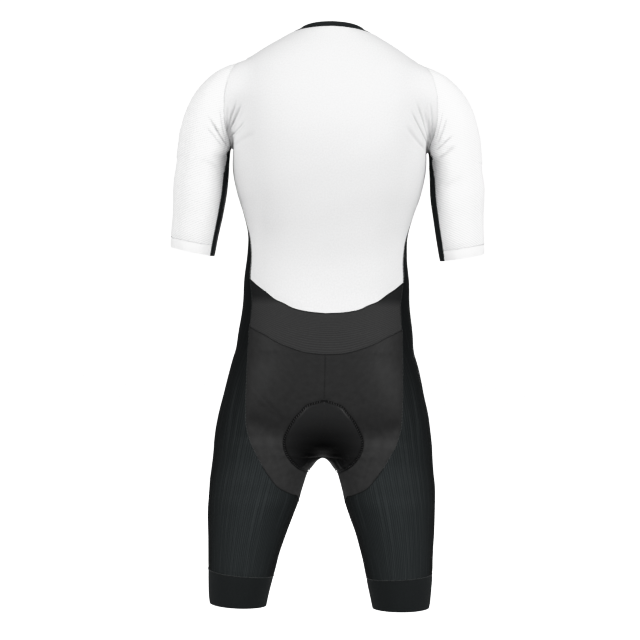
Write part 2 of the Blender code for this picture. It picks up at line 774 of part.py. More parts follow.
def make_side_legs(front_edge, back_edge):
    """The black panel from the armpit down the side and round the leg, closed by the inseam."""
    front, back = leg_chart(front_edge), leg_chart(back_edge)
    front[-1, 0], back[-1, 0] = -math.pi, math.pi
    rows = [armhole(armhole_angles()[1])[::-1]]
    share_in = len(front) - SEAT_CELLS // 2
    for k in range(1, len(front)):
        length = np.linalg.norm(back_edge[k] - front_edge[k])
        reach = 0.25 * abs(back[k, 0] - front[k, 0]) * 2 / math.pi
        cells = int(np.clip(round(max(length, reach * 1.15) / CELL), STRIP_CELLS, LEG_ROUND_CELLS))
        share = np.linspace(0, 1, cells + 1)
        line = front[k] + share[:, None] * (back[k] - front[k])
        line[:, 1] -= INSEAM_DIP * max(0.0, (k - share_in) / (len(front) - 1 - share_in)) * dip(share)
        row = leg_point(line)
        row[0], row[-1] = front_edge[k], back_edge[k]
        rows.append(row)
    ring = leg_ring(LEG_SEAM_Z, LEG_SEAM_TILT)
    start = leg_ring(back[-1, 1], 0)
    start[:, 1] -= INSEAM_DIP * dip(np.linspace(0, 1, len(start)))
    for share in np.linspace(0, 1, LEG_CELLS + 1)[1:]:
        rows.append(leg_point(start + share * (ring - start)))
    both_sides("side_leg", rows, RIB_BLACK, tuck=1)

    hem = leg_ring(LEG_HEM_Z, LEG_HEM_TILT)
    share = np.linspace(0, 1, BAND_CELLS + 1)[:, None, None]
    both_sides("leg_band", leg_point(ring + share * (hem - ring)), BLACK)


def sleeve_planes():
    """Planes across the sleeve below the armhole: (lean, x, y, z of the middle), fanning out, then going down."""
    lean = np.linspace(90, FAN[-1][0], SLEEVE_FAN_CELLS + 1)[1:]
    reach = read(curves(FAN, FAN_COLUMNS), lean)
    x = FAN_PIVOT[0] + reach * np.cos(np.radians(lean))
    z = FAN_PIVOT[1] + reach * np.sin(np.radians(lean))
    fan = np.stack([lean, x, 0 * x, z], axis=-1)
    cuff = plane(CUFF_SEAM)
    share = np.linspace(0, 1, SLEEVE_CELLS + 1)[1:, None]
    return np.vstack([fan, fan[-1] + share * (cuff - fan[-1])])


def plane(row):
    return np.array([row[0], *(value * MM for value in row[1:])])


def sleeve_section(row, angles):
    """Points round the sleeve in one plane: angle 90 is the outside, 0 the back and -90 the inside."""
    lean, x, y, z = row
    turn = np.radians(angles)
    up = np.array([math.cos(math.radians(lean)), 0, math.sin(math.radians(lean))])
    drop = HEM_BACK_DROP * max(0.0, 1 - lean / 30)
    back = np.array([0, 1, -drop]) / math.hypot(1, drop)
    direction = np.sin(turn)[:, None] * up + np.cos(turn)[:, None] * back
    return cast(np.array([x, y, z]), direction)


def sleeve_angles():
    """Angles of the armhole's points in sleeve order, and how many belong to the sleeve: the rest is the strip."""
    back, strip, front = armhole_angles()
    extra = UNDERARM_EXTRA_CELLS
    over = np.concatenate([front[extra:-1] + 360, back[: len(back) - extra]])
    under = np.concatenate([back[len(back) - extra :], strip[1:], front[1 : extra + 1]])
    return np.concatenate([over, under]), len(over)


def spread_angles(angles, over, share):
    """The armhole's angles, eased towards even spacing down the sleeve."""
    first, last = UNDERARM_FRONT_ANGLE + 360, UNDERARM_BACK_ANGLE
    outer = np.linspace(first, last, over)
    inner = np.linspace(last, first - 360, len(angles) - over + 1)[1:]
    return angles + min(1.0, share * 1.2) * (np.concatenate([outer, inner]) - angles)


def make_sleeves():
    """Sleeve, the strip inside it, and the plain hem, all from one net of rows below the armhole."""
    angles, over = sleeve_angles()
    planes = sleeve_planes()
    net = [armhole(angles)]
    for k, row in enumerate(planes):
        net.append(sleeve_section(row, spread_angles(angles, over, (k + 1) / len(planes))))
    hem = sleeve_section(plane(SLEEVE_HEM), spread_angles(angles, over, 1.0))
    net = np.array(net)
    both_sides("sleeve", net[:, :over], MESH_WHITE, tuck=-1)
    both_sides("underarm", np.vstack([net, hem[None]])[:, over - 1 :], BLACK, tuck=-1)
    both_sides("cuff", np.stack([net[-1], hem])[:, :over], MESH_WHITE)


def make_neckband():
    rows = []
    for which in ("seam", "edge"):
        front, back = neck_seams(which)
        left = np.vstack([front[::-1], back[1:]])
        rows.append(np.vstack([left, left[-2::-1] * (-1, 1, 1)]))
    cloth("neckband", rows, BLACK, BINDING_LIFT)


def make_pad():
    """The seat pad inside the crotch, thick in the middle and thin at its rim."""
    girth = np.linspace(PAD_EDGE[0][0], PAD_EDGE[-1][0], PAD_ROWS + 1) * MM
    across = np.linspace(-1, 1, PAD_COLUMNS + 1)
    half = read(PAD_EDGE_CURVE, girth)
    points = pelvis_point(vector(half[:, None] * across, girth[:, None]).reshape(-1, 2))
    middle = 1 - np.abs(across)[None] ** 3
    ends = 1 - np.abs(np.linspace(-1, 1, len(girth)))[:, None] ** 6
    thickness = PAD_RIM + (PAD_THICKNESS - PAD_RIM) * (middle * ends).reshape(-1, 1)
    faces, rim = mesh_rows(points.reshape(len(girth), len(across), 3))
    near = np.exp(-((points[:, :1] / CROTCH_RADIUS) ** 2 + (points[:, 1:2] / PAD_HALF_WIDTH) ** 2))
    depth = WALL + PAD_CLEARANCE + CROTCH_LIFT * near
    vertices, closed = shell(points, faces, rim, depth, depth + thickness, outward(points))
    new_object("chamois_pad", vertices, closed, PAD_BLACK)


# ---------------------------------------------------------------- zip


def make_zip():
    """The zip's tape behind the fronts, with its closed chain between them."""
    low = WAIST_FRONT[0][1] * MM + 1.0 * MM
    z = np.concatenate([np.linspace(low, CHAIN_TOP_Z, ZIP_CELLS + 1), [CHAIN_TOP_Z + 0.8 * MM, NECKLINE[0][2] * MM]])
    centre = cast(vector(0, 0, z), vector(0, -1, 0))
    normal = outward(centre)
    chain = np.where(z > CHAIN_TOP_Z + 0.1 * MM, TAPE_DEPTH - 0.2 * MM, CHAIN_DEPTH)
    back = TAPE_DEPTH + TAPE_THICKNESS
    vertices = []
    for point, out, top in zip(centre, normal, chain):
        profile = (
            (-TAPE_HALF_WIDTH, back),
            (-TAPE_HALF_WIDTH, TAPE_DEPTH),
            (-CHAIN_HALF_WIDTH, TAPE_DEPTH),
            (-CHAIN_HALF_WIDTH, top),
            (CHAIN_HALF_WIDTH, top),
            (CHAIN_HALF_WIDTH, TAPE_DEPTH),
            (TAPE_HALF_WIDTH, TAPE_DEPTH),
            (TAPE_HALF_WIDTH, back),
        )
        vertices += [point - depth * out + (x, 0, 0) for x, depth in profile]
    ring = len(profile)
    last = len(vertices) - ring
    faces = [list(range(ring)), list(range(last, len(vertices)))[::-1]]
    for i in range(len(z) - 1):
        for j in range(ring):
            k = (j + 1) % ring
            faces.append([i * ring + k, i * ring + j, (i + 1) * ring + j, (i + 1) * ring + k])
    new_object("zip_tape", vertices, faces, BLACK)


def slider_frame():
    """(origin, across, up, out) of the slider, on the form at the zip's top."""
    origin = cast(np.array([0, 0, SLIDER_Z]), np.array([0.0, -1.0, 0.0]))
    out = outward(origin)
    across = np.array([1.0, 0.0, 0.0])
    return origin, across, np.cross(out, across), out


def placed(points):
    """Points given as (across, up, out) in millimetres round the slider."""
    origin, across, up, out = slider_frame()
    return [origin + MM * (u * across + v * up + w * out) for u, v, w in points]


def prism(outline, low, high, along):
    """(points, faces) of an outline pushed along one axis: 0 across, 2 out."""
    points = []
    for end in (low, high):
        for a, b in outline:
            points.append((end, a, b) if along == 0 else (a, b, end))
    n = len(outline)
    faces = [list(range(n))[::-1], list(range(n, 2 * n))]
    faces += [[i, (i + 1) % n, n + (i + 1) % n, n + i] for i in range(n)]
    return placed(points), faces


def make_slider():
    """The slider's plate, the post that parts the chain, and the bridge that holds the pull."""
    w, h = SLIDER_WIDTH / MM / 2, SLIDER_LENGTH / MM / 2
    outline = ((-w, h - 2), (-w + 1.2, h), (w - 1.2, h), (w, h - 2), (w - 1.4, 1 - h), (w - 2.2, -h), (2.2 - w, -h), (1.4 - w, 1 - h))
    plate = new_object("zip_slider", *prism(outline, PLATE_BOTTOM / MM, PLATE_TOP / MM, 2), METAL)
    top, hinge = PLATE_TOP / MM, HINGE_HEIGHT / MM
    roof = hinge + 0.95
    bridge = (
        (-3.5, top - 0.4),
        (-3.5, roof),
        (-2.8, roof + 0.8),
        (2.8, roof + 0.8),
        (3.5, roof),
        (3.5, top - 0.4),
        (2.5, top - 0.4),
        (2.5, roof - 0.2),
        (2.1, roof),
        (-2.1, roof),
        (-2.5, roof - 0.2),
        (-2.5, top - 0.4),
    )
    half = BRIDGE_WIDTH / MM / 2
    post = ((-0.9, 0.5), (0, 0.0), (0.9, 0.5), (0.9, 3.6), (-0.9, 3.6))
    depth = -(TAPE_DEPTH / MM - 0.5)
    pieces = [
        new_object("bridge_cutter", *prism(bridge, -half, half, 0), METAL),
        new_object("post_cutter", *prism(post, depth, PLATE_BOTTOM / MM + 0.4, 2), METAL),
    ]
    for piece in pieces:
        piece.hide_render = True
        piece.display_type = "WIRE"
        joined = plate.modifiers.new(piece.name, "BOOLEAN")
        joined.operation = "UNION"
        joined.solver = "EXACT"
        joined.object = piece


def make_pull():
    """The pull tab, which hangs from the bridge by the bar across its eye."""
    half, length = PULL_THICKNESS / MM / 2, PULL_LENGTH / MM
    eye = ((-1.5, -0.5), (0, -0.5), (1.5, -0.5), (1.5, -2.4), (1.5, -4.5), (0, -4.5), (-1.5, -4.5), (-1.5, -2.4))
    rim = (
        (-2.6, 0.5),
        (0, 0.5),
        (2.6, 0.5),
        (2.6, -5.5),
        (3.1, 2 - length),
        (0, -length),
        (-3.1, 2 - length),
        (-2.6, -5.5),
    )
    hinge = HINGE_HEIGHT / MM
    points = []
    for w in (hinge - half, hinge + half):
        points += [(u, v, w) for u, v in eye]
        points += [(u, v, w) for u, v in rim]
    n = len(eye)
    faces = []
    for i in range(n):
        k = (i + 1) % n
        faces.append([i, n + i, n + k, k])
        faces.append([2 * n + i, 2 * n + k, 3 * n + k, 3 * n + i])
        faces.append([i, k, 2 * n + k, 2 * n + i])
        faces.append([n + i, 3 * n + i, 3 * n + k, n + k])
    (pivot,) = placed([(0, 0, hinge)])
    pull = new_object("zip_pull", [point - pivot for point in placed(points)], faces, METAL)
    pull.location = pivot


def main():
    for old in list(bpy.data.objects):
        bpy.data.objects.remove(old)
    side_back = side_seam("back", WAIST_TOP_Z, SIDE_CELLS)
    side_front = side_seam("front", FRONT_WAIST_Z, SIDE_CELLS)
    run = side_seam("back", WAIST_LOW_Z, 300)
    run = run[run[:, 2] < WAIST_TOP_Z - 0.5 * MM]
    waist_side = spaced(np.vstack([side_back[-1:], run]), WAIST_CELLS)
    make_back(side_back)
    make_fronts(side_front)
    make_waist(waist_side)

    seat_edge = pelvis_edge(SEAT_EDGE_CURVE, SEAT_CELLS, waist_side[-1], front=False)
    make_pelvis_panel("seat", waist_back("bottom", seat_edge[0]), seat_edge, CHARCOAL)
    shorts_edge = pelvis_edge(SHORTS_EDGE_CURVE, WAIST_CELLS + SEAT_CELLS, side_front[-1], front=True)
    make_pelvis_panel("shorts_front", waist_front(0.0, shorts_edge[0]), shorts_edge, RIB_BLACK)
    front_edge = np.vstack([side_front, shorts_edge[1:]])
    make_side_legs(front_edge, np.vstack([side_back, waist_side[1:], seat_edge[1:]]))

    make_sleeves()
    make_neckband()
    make_pad()
    make_zip()
    make_slider()
    make_pull()


main()
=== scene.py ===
"""Looks of the short-sleeved triathlon suit: fine cloth panels, sewing, zip coil and finishes.

Metres, +Z up, the front faces -Y and the wearer's left is +X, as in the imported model. Each panel lies on
the same body form as its solid, in finer cells, with its creases. Tables are in millimetres.
"""

import math

import bpy
import mathutils
import numpy as np
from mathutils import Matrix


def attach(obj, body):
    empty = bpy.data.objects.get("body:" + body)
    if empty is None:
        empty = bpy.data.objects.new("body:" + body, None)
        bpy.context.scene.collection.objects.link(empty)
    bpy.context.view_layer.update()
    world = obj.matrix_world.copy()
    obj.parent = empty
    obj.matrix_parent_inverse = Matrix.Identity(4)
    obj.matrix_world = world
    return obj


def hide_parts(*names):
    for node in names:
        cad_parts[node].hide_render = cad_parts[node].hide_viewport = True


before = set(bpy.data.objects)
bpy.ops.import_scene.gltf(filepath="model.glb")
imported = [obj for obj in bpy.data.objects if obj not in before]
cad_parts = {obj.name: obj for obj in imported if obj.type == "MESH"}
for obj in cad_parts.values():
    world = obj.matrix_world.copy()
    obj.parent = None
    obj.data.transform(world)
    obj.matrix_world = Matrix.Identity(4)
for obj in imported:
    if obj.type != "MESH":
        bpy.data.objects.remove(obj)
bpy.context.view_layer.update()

MM = 0.001

# Cloth
WALL = 1.4 * MM
SEAM_GAP = 0.3 * MM
BINDING_LIFT = 0.4 * MM

# The fold of the armpit, where sleeve and body meet
FOLD_TOP_Z = -140 * MM
FOLD_LOW_Z = -220 * MM
FOLD_HEIGHT = 35 * MM
FOLD_LOW_HEIGHT = FOLD_HEIGHT / 4
FOLD_INNER = 161 * MM
FOLD_DEPTH = 52 * MM
FOLD_LEAN = 1.6
FOLD_GAP = 1.5  # how much wider a seam opens in the armpit's fold
FOLD_STILLNESS = 0.8  # the share of creases and sag that is lost in the fold, and at the seams
SEAM_STILLNESS = 0.75
SHARPEST_CORNER = 0.35  # how far a rim's corner may be drawn in
SHARP_ANGLE = 50  # degrees at which shading breaks
FULLEST_CUT = 0.998  # most that a cut may fill of its width times its length

# Steps that measure the form's slope and its normals. Rays: the share of the measured distance that a step
# takes, the most steps, and how near is near enough.
TUBE_STEP = 1.5 * MM
NORMAL_STEP = 0.5 * MM
RAY_SHARE = 0.93
RAY_ROUNDS = 36
CROSSING_ROUNDS = 34
RAY_CLOSE = 2e-7

# Sections of the form, in millimetres: height, inner and outer x, back and front y, squareness.
SECTION_COLUMNS = ("z", "inner", "outer", "back", "front", "square")
TORSO = (
    (60, -48, 48, 36, -40, 2.0), (20, -50, 50, 44, -43, 2.0), (6, -53, 53, 49, -46, 2.0),
    (-2, -70, 70, 54, -49, 2.0), (-12, -87, 87, 61, -53, 2.0), (-22, -104, 104, 68, -56, 2.0),
    (-32, -119, 119, 74, -60, 2.0), (-42, -133, 133, 80, -64, 2.0), (-56, -148, 148, 87, -70, 2.1),
    (-80, -160, 160, 97, -81, 2.2), (-110, -164, 164, 107, -94, 2.3), (-150, -163, 163, 114, -107, 2.4),
    (-200, -161, 161, 115, -114, 2.4), (-228, -160.5, 160.5, 112, -114, 2.4),
    (-268, -153.5, 153.5, 105, -110, 2.4), (-308, -140.5, 140.5, 96, -105, 2.4),
    (-340, -133, 133, 89, -100, 2.4), (-370, -133, 133, 84, -97, 2.4), (-410, -137.5, 137.5, 83, -95, 2.4),
    (-450, -139, 139, 87, -96, 2.4), (-500, -145, 145, 100, -99, 2.4), (-527, -148, 148, 107.5, -100, 2.4),
    (-550, -153.5, 153.5, 114, -100, 2.4), (-600, -159.5, 159.5, 123, -98, 2.4),
    (-640, -158, 158, 122, -92, 2.3), (-665, -148, 148, 113, -84, 2.2), (-685, -125, 125, 95, -71, 2.1),
    (-693, -98, 98, 74, -56, 2.0), (-699.5, -66, 66, 44, -34, 2.0), (-703, -40, 40, 14, -10, 2.0),
)
LEG = (
    (-530, 12, 100, 70, -60, 2.1), (-560, 8, 128, 92, -80, 2.2), (-600, 4, 154.5, 101, -86, 2.2),
    (-640, 3, 173.5, 104, -89, 2.2), (-680, 3, 181, 103, -92, 2.2), (-700, 6, 182.5, 102, -92, 2.2),
    (-712, 12, 183.5, 100, -92, 2.2), (-722, 18, 184.5, 99, -92, 2.2), (-732, 24.5, 185.5, 98, -92, 2.2),
    (-745, 29, 187, 97, -91, 2.2), (-762, 33.5, 188, 95, -91, 2.2), (-777, 37, 188.5, 94, -90, 2.2),
    (-800, 45, 189, 90, -88, 2.1), (-830, 56, 188.5, 84, -84, 2.1), (-850, 62.5, 188, 80, -82, 2.1),
    (-870, 68.5, 187.5, 76, -80, 2.1), (-900, 75.5, 187, 70, -76, 2.1), (-955, 87.5, 183.5, 61, -70, 2.0),
    (-1000, 94, 178, 56, -66, 2.0),
)
ARM = (
    (-49, 122, 138, 10, -10, 2.0), (-56, 112, 164, 27, -25, 2.0), (-65, 108, 184.5, 39, -36, 2.0),
    (-80, 112, 205, 49, -45, 2.0), (-100, 124, 223, 55, -50, 2.0), (-125, 140, 237, 58, -52, 2.0),
    (-155, 153, 247, 58, -52, 2.1), (-195, 164, 252, 55, -51, 2.1), (-228, 167, 255.5, 52, -50, 2.1),
    (-250, 168, 259, 49, -50, 2.1), (-268, 169, 259.8, 47, -50, 2.1), (-308, 175, 260, 41, -50, 2.1),
    (-348, 183, 262, 35, -50, 2.1), (-376, 188, 263, 31, -50, 2.1), (-420, 193, 265, 25, -50, 2.1),
)

# How widely two tubes flow into each other, in millimetres, by height.
BLEND_COLUMNS = ("z", "width")
ARM_BLEND = ((-50, 10), (-70, 24), (-100, 42), (-140, 34), (-175, 14), (-195, 6), (-230, 5))
LEG_BLEND = ((-540, 38), (-600, 32), (-640, 28), (-680, 24), (-707, 16), (-760, 12))
CROTCH_BLEND = 12 * MM

# Heights and edges of the seams, in millimetres.
CHEST_Z = -198 * MM
NECKLINE_COLUMNS = ("angle", "seam", "edge")
NECKLINE = (
    (-90, -54, -44), (-60, -42, -33), (-30, -19, -11), (0, -1, 5), (30, 3, 10), (60, 5, 13), (90, 6, 14),
)
SHOULDER_FORWARD = 8 * MM
NECK_SIDE_X = 68 * MM
ARMHOLE_CENTRE_Z = -124 * MM
ARMHOLE_RISE = 74 * MM
ARMHOLE_REACH = 130 * MM
ARMHOLE_COLUMNS = ("z", "x")
ARMHOLE = (
    (-40, 148), (-55, 157), (-75, 167), (-100, 173), (-137, 175), (-157, 173.5), (-170, 170.5),
    (-182, 166.5), (-192, 164), (-200, 162.8),
)
SIDE_COLUMNS = ("z", "back", "front")
SIDE_SEAM = (
    (-240, -3, -42), (-280, 2, -46), (-320, 13, -49), (-350, 27, -50), (-380, 34, -51), (-414, 39, -52),
    (-450, 48, -54), (-492, 58, -57),
)
SIDE_TOP_BACK = -95
SIDE_TOP_FRONT = -122
WAIST_BACK_COLUMNS = ("x", "top", "bottom")
WAIST_BACK = (
    (0, -467, -534), (35, -464, -531), (56, -459, -525), (70, -452, -520), (84, -446, -514),
    (100, -434, -505), (113, -425, -499), (126, -414, -492),
)
WAIST_FRONT_COLUMNS = ("x", "seam")
WAIST_FRONT = ((0, -456), (50, -452), (90, -442), (122, -430))

# The lower body is measured round a level line through the pelvis: girth is the distance down the
# seat, under the crotch and up the front, and x is how far the panel's edge lies from the centre seam.
PELVIS_Z = -640 * MM
GIRTH_RADIUS = 100 * MM
UNDER = math.pi / 2 * GIRTH_RADIUS
EDGE_COLUMNS = ("girth", "x")
SEAT_EDGE = (
    (-148, 126), (-74, 127), (-20, 127), (20, 124), (39, 117), (51, 109), (66, 98), (80, 84), (90, 73),
    (100, 60), (118, 44.5), (157, 37.5),
)
SHORTS_EDGE = (
    (-210, 122), (-120, 121), (-40, 119), (10, 113), (40, 103), (66, 87), (90, 66), (118, 45.5),
    (157, 37.5),
)
PAD_EDGE = (
    (-31, 3), (-26, 20), (-11, 38), (7, 52.5), (33, 63.5), (49, 60.5), (64, 52), (79, 41.5), (96, 32),
    (120, 26), (157, 22), (190, 25), (220, 32), (250, 36), (272, 32), (288, 20), (294, 3),
)
PAD_CLEARANCE = 2.0 * MM
PAD_THICKNESS = 7 * MM
PAD_RIM = 1.5 * MM
CROTCH_RADIUS = 11 * MM
CROTCH_LIFT = 4 * MM
PAD_HALF_WIDTH = 60 * MM

# Legs and sleeves
LEG_AXIS_COLUMNS = ("z", "x")
LEG_AXIS = ((-955, 134), (-900, 131), (-800, 117), (-740, 104), (-600, 75), (-430, 35), (-300, 8), (-200, 0))
LEG_SEAM_Z = -901 * MM
LEG_HEM_Z = -955 * MM
LEG_SEAM_TILT = 5 * MM
LEG_HEM_TILT = 1.5 * MM
INSEAM_DIP = 20 * MM
LEG_HALF_GIRTH = 250 * MM
LEG_SPARE = 1.15
SEAT_STRAIGHT = 0.62  # the share of the seat's outer edge above its curve, sewn in grey
FAN_PIVOT = (164 * MM, -212 * MM)
FAN_COLUMNS = ("lean", "reach")
FAN = ((90, 88), (60, 78), (30, 60), (4, 46))
# Planes of the sleeve's end: lean in degrees, then x, y and z of the middle in millimetres.
CUFF_SEAM = (9.5, 222.4, -8, -351)
SLEEVE_HEM = (10.5, 224.5, -10, -369)
HEM_BACK_DROP = 0.12
LEVEL_LEAN = 30
UNDERARM_BACK_ANGLE = -52
UNDERARM_FRONT_ANGLE = -128
SPREAD_SPEED = 1.2
# What the scene's sleeve takes from each edge of its strip at the armpit, as a share, and over what length.
STRIP_GIVEN = (0.62, 1.15)
STRIP_TAPER = 75 * MM
# The sleeve's ribs run round an axis whose x is given at some depths below the neck.
SLEEVE_RIB_RADIUS = 45 * MM
SLEEVE_AXIS_DROP = (0.06, 0.2, 0.37)
SLEEVE_AXIS_X = (0.165, 0.21, 0.228)

# Sides of the body, as the ends of names and the signs of x
SIDES = {"": 1, "_left": 1, "_right": -1}
MIDDLE = ("",)
BOTH = ("_left", "_right")

# Zip
ZIP_HALF_GAP = 3.5 * MM
CHAIN_TOP_Z = -66 * MM
COIL_PITCH = 1.5 * MM
COIL_OFFSET = 1.25 * MM
COIL_DEPTH = 0.12 * MM
COIL_HALF = (1.3 * MM, 0.42 * MM, 0.3 * MM)

# Grid cells along each seam. FINE of them lie in each cell of the solids where creases are dense, and half
# as many elsewhere.
FINE = 12
COARSE_STEP = 2
NECK_CELLS = 8 * FINE
SHOULDER_CELLS = 4 * FINE
UPPER_ARMHOLE_CELLS = 9 * FINE
SIDE_CELLS = 9 * FINE
WAIST_CELLS = 3 * FINE
SEAT_CELLS = 14 * FINE
LEG_CELLS = 8 * FINE
LEG_ROUND_CELLS = 24 * FINE
BAND_CELLS = 2 * FINE
PAD_ROWS = 54
PAD_COLUMNS = 24
CELL = 23 * MM / FINE * COARSE_STEP
SLEEVE_FAN_CELLS = 7
SLEEVE_CELLS = 7
STRIP_CELLS = 3 * FINE
UNDERARM_EXTRA_CELLS = 2 * FINE
PANEL_CELLS = NECK_CELLS + SHOULDER_CELLS
EVENING_ROUNDS = 120
ARMPIT_ROWS = (8, 9, 10, 11, 12, 13)
BACK_DENSE = (0, 1, 2, 3, 20, 21, 22, 23)
FRONT_DENSE = (8, 9, 10, 11)
SLEEVE_DENSE_ROWS = (0, 1, 2, 3, 4, 5, 6)
SLEEVE_DENSE = (0, 1, 2, 3, 13, 14, 15, 16)

# How many points sample a seam before it is spaced evenly
SIDE_SAMPLES = 3600
SHOULDER_LINE = 40
SHORT_LINE = 60
MIDDLE_LINE = 80
LONG_LINE = 160
SEWN_LINE = 200
PAD_LINE = 400
SEWN_PAD_LINE = 500


# ---------------- tables and curves

PLAIN_COLUMNS = ("square", "angle", "lean")


def curves(table, names):
    """A table as (places, values, slopes) of smooth curves over its first column, lengths in metres."""
    scale = np.array([1.0 if name in PLAIN_COLUMNS else MM for name in names[: len(table[0])]])
    rows = np.array(table, float) * scale
    rows = rows[np.argsort(rows[:, 0])]
    return rows[:, 0], rows[:, 1:], np.gradient(rows[:, 1:], rows[:, 0], axis=0)


def read(curve, at):
    """The curves' values at the given places, held level past both ends. A single column comes back bare."""
    places, values, slopes = curve
    at = np.clip(at, places[0], places[-1])
    i = np.clip(np.searchsorted(places, at) - 1, 0, len(places) - 2)
    width = (places[i + 1] - places[i])[..., None]
    t = (at - places[i])[..., None] / width
    rise = values[i + 1] - values[i]
    bend_in = slopes[i] * width - rise
    bend_out = rise - slopes[i + 1] * width
    found = values[i] + t * rise + t * (1 - t) * ((1 - t) * bend_in + t * bend_out)
    return found[..., 0] if found.shape[-1] == 1 else found


def steps(points):
    """The lengths of the steps along a line of points, or from row to row of them."""
    return np.linalg.norm(np.diff(points, axis=0), axis=-1)


def totals(lengths):
    """The running total of lengths, from 0."""
    return np.concatenate([[0], np.cumsum(lengths)])


def spaced(points, cells):
    """The line through points again, as cells + 1 points at equal distances."""
    along = totals(steps(points))
    at = np.linspace(0, along[-1], cells + 1)
    return np.stack([np.interp(at, along, points[:, k]) for k in range(3)], axis=1)


def unit(vectors):
    return vectors / np.maximum(np.linalg.norm(vectors, axis=-1, keepdims=True), 1e-12)


def vector(*parts):
    return np.stack(np.broadcast_arrays(*parts), axis=-1).astype(float)


# ---------------- the body form

TORSO_CURVES = curves(TORSO, SECTION_COLUMNS)
LEG_CURVES = curves(LEG, SECTION_COLUMNS)
ARM_CURVES = curves(ARM, SECTION_COLUMNS)
ARM_BLEND_CURVE = curves(ARM_BLEND, BLEND_COLUMNS)
LEG_BLEND_CURVE = curves(LEG_BLEND, BLEND_COLUMNS)


def tube(points, sections):
    """About how far points lie outside a tube, negative inside."""
    x, y, z = points[..., 0], points[..., 1], points[..., 2]
    low, high = sections[0][0], sections[0][-1]
    step = TUBE_STEP
    level = np.clip(z, low, high)
    columns = read(sections, np.stack([level, level + step, level - step]))
    inner, outer, back, front, square = np.moveaxis(columns, -1, 0)
    dx, dy = x - (outer + inner) / 2, y - (back + front) / 2
    away = np.maximum(np.hypot(dx, dy), 1e-7)
    wide, deep = (outer - inner) / 2, (back - front) / 2
    spread = (np.abs(dx / away / wide) ** square + np.abs(dy / away / deep) ** square) ** (1 / square)
    over = away - 1 / spread
    slope = (over[1] - over[2]) / (2 * step)
    return np.maximum(over[0] / np.sqrt(1 + slope**2), np.maximum(low - z, z - high))


def blended(a, b, width):
    """The union of two forms, with a fillet of about that width where they meet."""
    near = np.clip(1 - np.abs(a - b) / width, 0, None)
    return np.minimum(a, b) - near**2 * width / 4


def form(points):
    """The suit's outside: zero on it, negative inside."""
    points = np.asarray(points, float)
    z = points[..., 2]
    mirrored = points * (-1, 1, 1)
    legs = blended(tube(points, LEG_CURVES), tube(mirrored, LEG_CURVES), CROTCH_BLEND)
    body = blended(tube(points, TORSO_CURVES), legs, read(LEG_BLEND_CURVE, z))
    arm_width = read(ARM_BLEND_CURVE, z)
    for side in (points, mirrored):
        body = blended(body, tube(side, ARM_CURVES), arm_width)
    return body


def outward(points):
    """Unit normals of the form at points on it."""
    step = NORMAL_STEP
    slopes = [form(points + step * axis) - form(points - step * axis) for axis in np.eye(3)]
    return unit(np.stack(slopes, axis=-1))


def crossing(path, shape, reach):
    """Where path(t), which starts inside the form and is about reach long at t = 1, first leaves it."""
    t = np.zeros(shape)
    for _ in range(CROSSING_ROUNDS):
        t = np.clip(t - RAY_SHARE * form(path(t)) / reach, 0, 1)
    return path(t)


def cast(start, direction, reach=0.3):
    """Where rays from inside the form first leave it."""
    start, direction = np.broadcast_arrays(start, direction)
    shape = start.shape
    start, direction = start.reshape(-1, 3), direction.reshape(-1, 3)
    along = np.zeros((len(start), 1))
    live = np.arange(len(start))
    for _ in range(RAY_ROUNDS):
        off = form(start[live] + along[live] * direction[live])
        along[live] = np.clip(along[live] - RAY_SHARE * off[:, None], 0, reach)
        live = live[np.abs(off) > RAY_CLOSE]
        if not len(live):
            break
    return (start + along * direction).reshape(shape)


# ---------------- charts: two numbers to a point on the form

LEG_AXIS_CURVE = curves(LEG_AXIS, LEG_AXIS_COLUMNS)


def chest_chart(points):
    """(angle round the body, rise) of points on the torso. Rise turns into elevation above the chest."""
    x, y, z = points[..., 0], points[..., 1], points[..., 2] - CHEST_Z
    elevation = np.arctan2(z, np.hypot(x, y)) * -CHEST_Z
    return np.stack([np.arctan2(y, x), np.where(z > 0, elevation, z)], axis=-1)


def chest_point(chart):
    """The torso's point at (angle, rise), by a ray from the body's axis."""
    angle, rise = chart[..., 0], chart[..., 1]
    elevation = np.maximum(rise, 0) / -CHEST_Z
    start = vector(0 * rise, 0, CHEST_Z + np.minimum(rise, 0))
    level = np.cos(elevation)
    return cast(start, vector(level * np.cos(angle), level * np.sin(angle), np.sin(elevation)))


def back_chart(points):
    """The chest chart, with angles that run on past the right side instead of jumping."""
    chart = chest_chart(points)
    chart[..., 0] = np.where(chart[..., 0] < -math.pi / 2, chart[..., 0] + 2 * math.pi, chart[..., 0])
    return chart


def pelvis_chart(points):
    """(x, girth) of points on the seat, crotch and front of the shorts."""
    x, y, z = points[..., 0], points[..., 1], points[..., 2] - PELVIS_Z
    turned = np.arctan2(-z, y) * GIRTH_RADIUS
    girth = np.where(z > 0, np.where(y > 0, -z, 2 * UNDER + z), turned)
    return np.stack([x, girth], axis=-1)


def pelvis_point(chart):
    """The point at (x, girth), by a ray from the level line through the pelvis."""
    x, girth = chart[..., 0], chart[..., 1]
    above = np.maximum(-girth, girth - 2 * UNDER)
    turn = np.clip(girth / GIRTH_RADIUS, 0, math.pi)
    start = vector(x, 0, PELVIS_Z + np.maximum(above, 0))
    return cast(start, vector(0, np.cos(turn), -np.sin(turn)))


def leg_chart(points):
    """(angle round the leg, height), where angle 0 is the outside of the leg."""
    x, y, z = points[..., 0], points[..., 1], points[..., 2]
    return np.stack([np.arctan2(y, x - read(LEG_AXIS_CURVE, z)), z], axis=-1)


def leg_point(chart):
    angle, z = chart[..., 0], chart[..., 1]
    start = vector(read(LEG_AXIS_CURVE, z), 0, z)
    return cast(start, vector(np.cos(angle), np.sin(angle), 0))


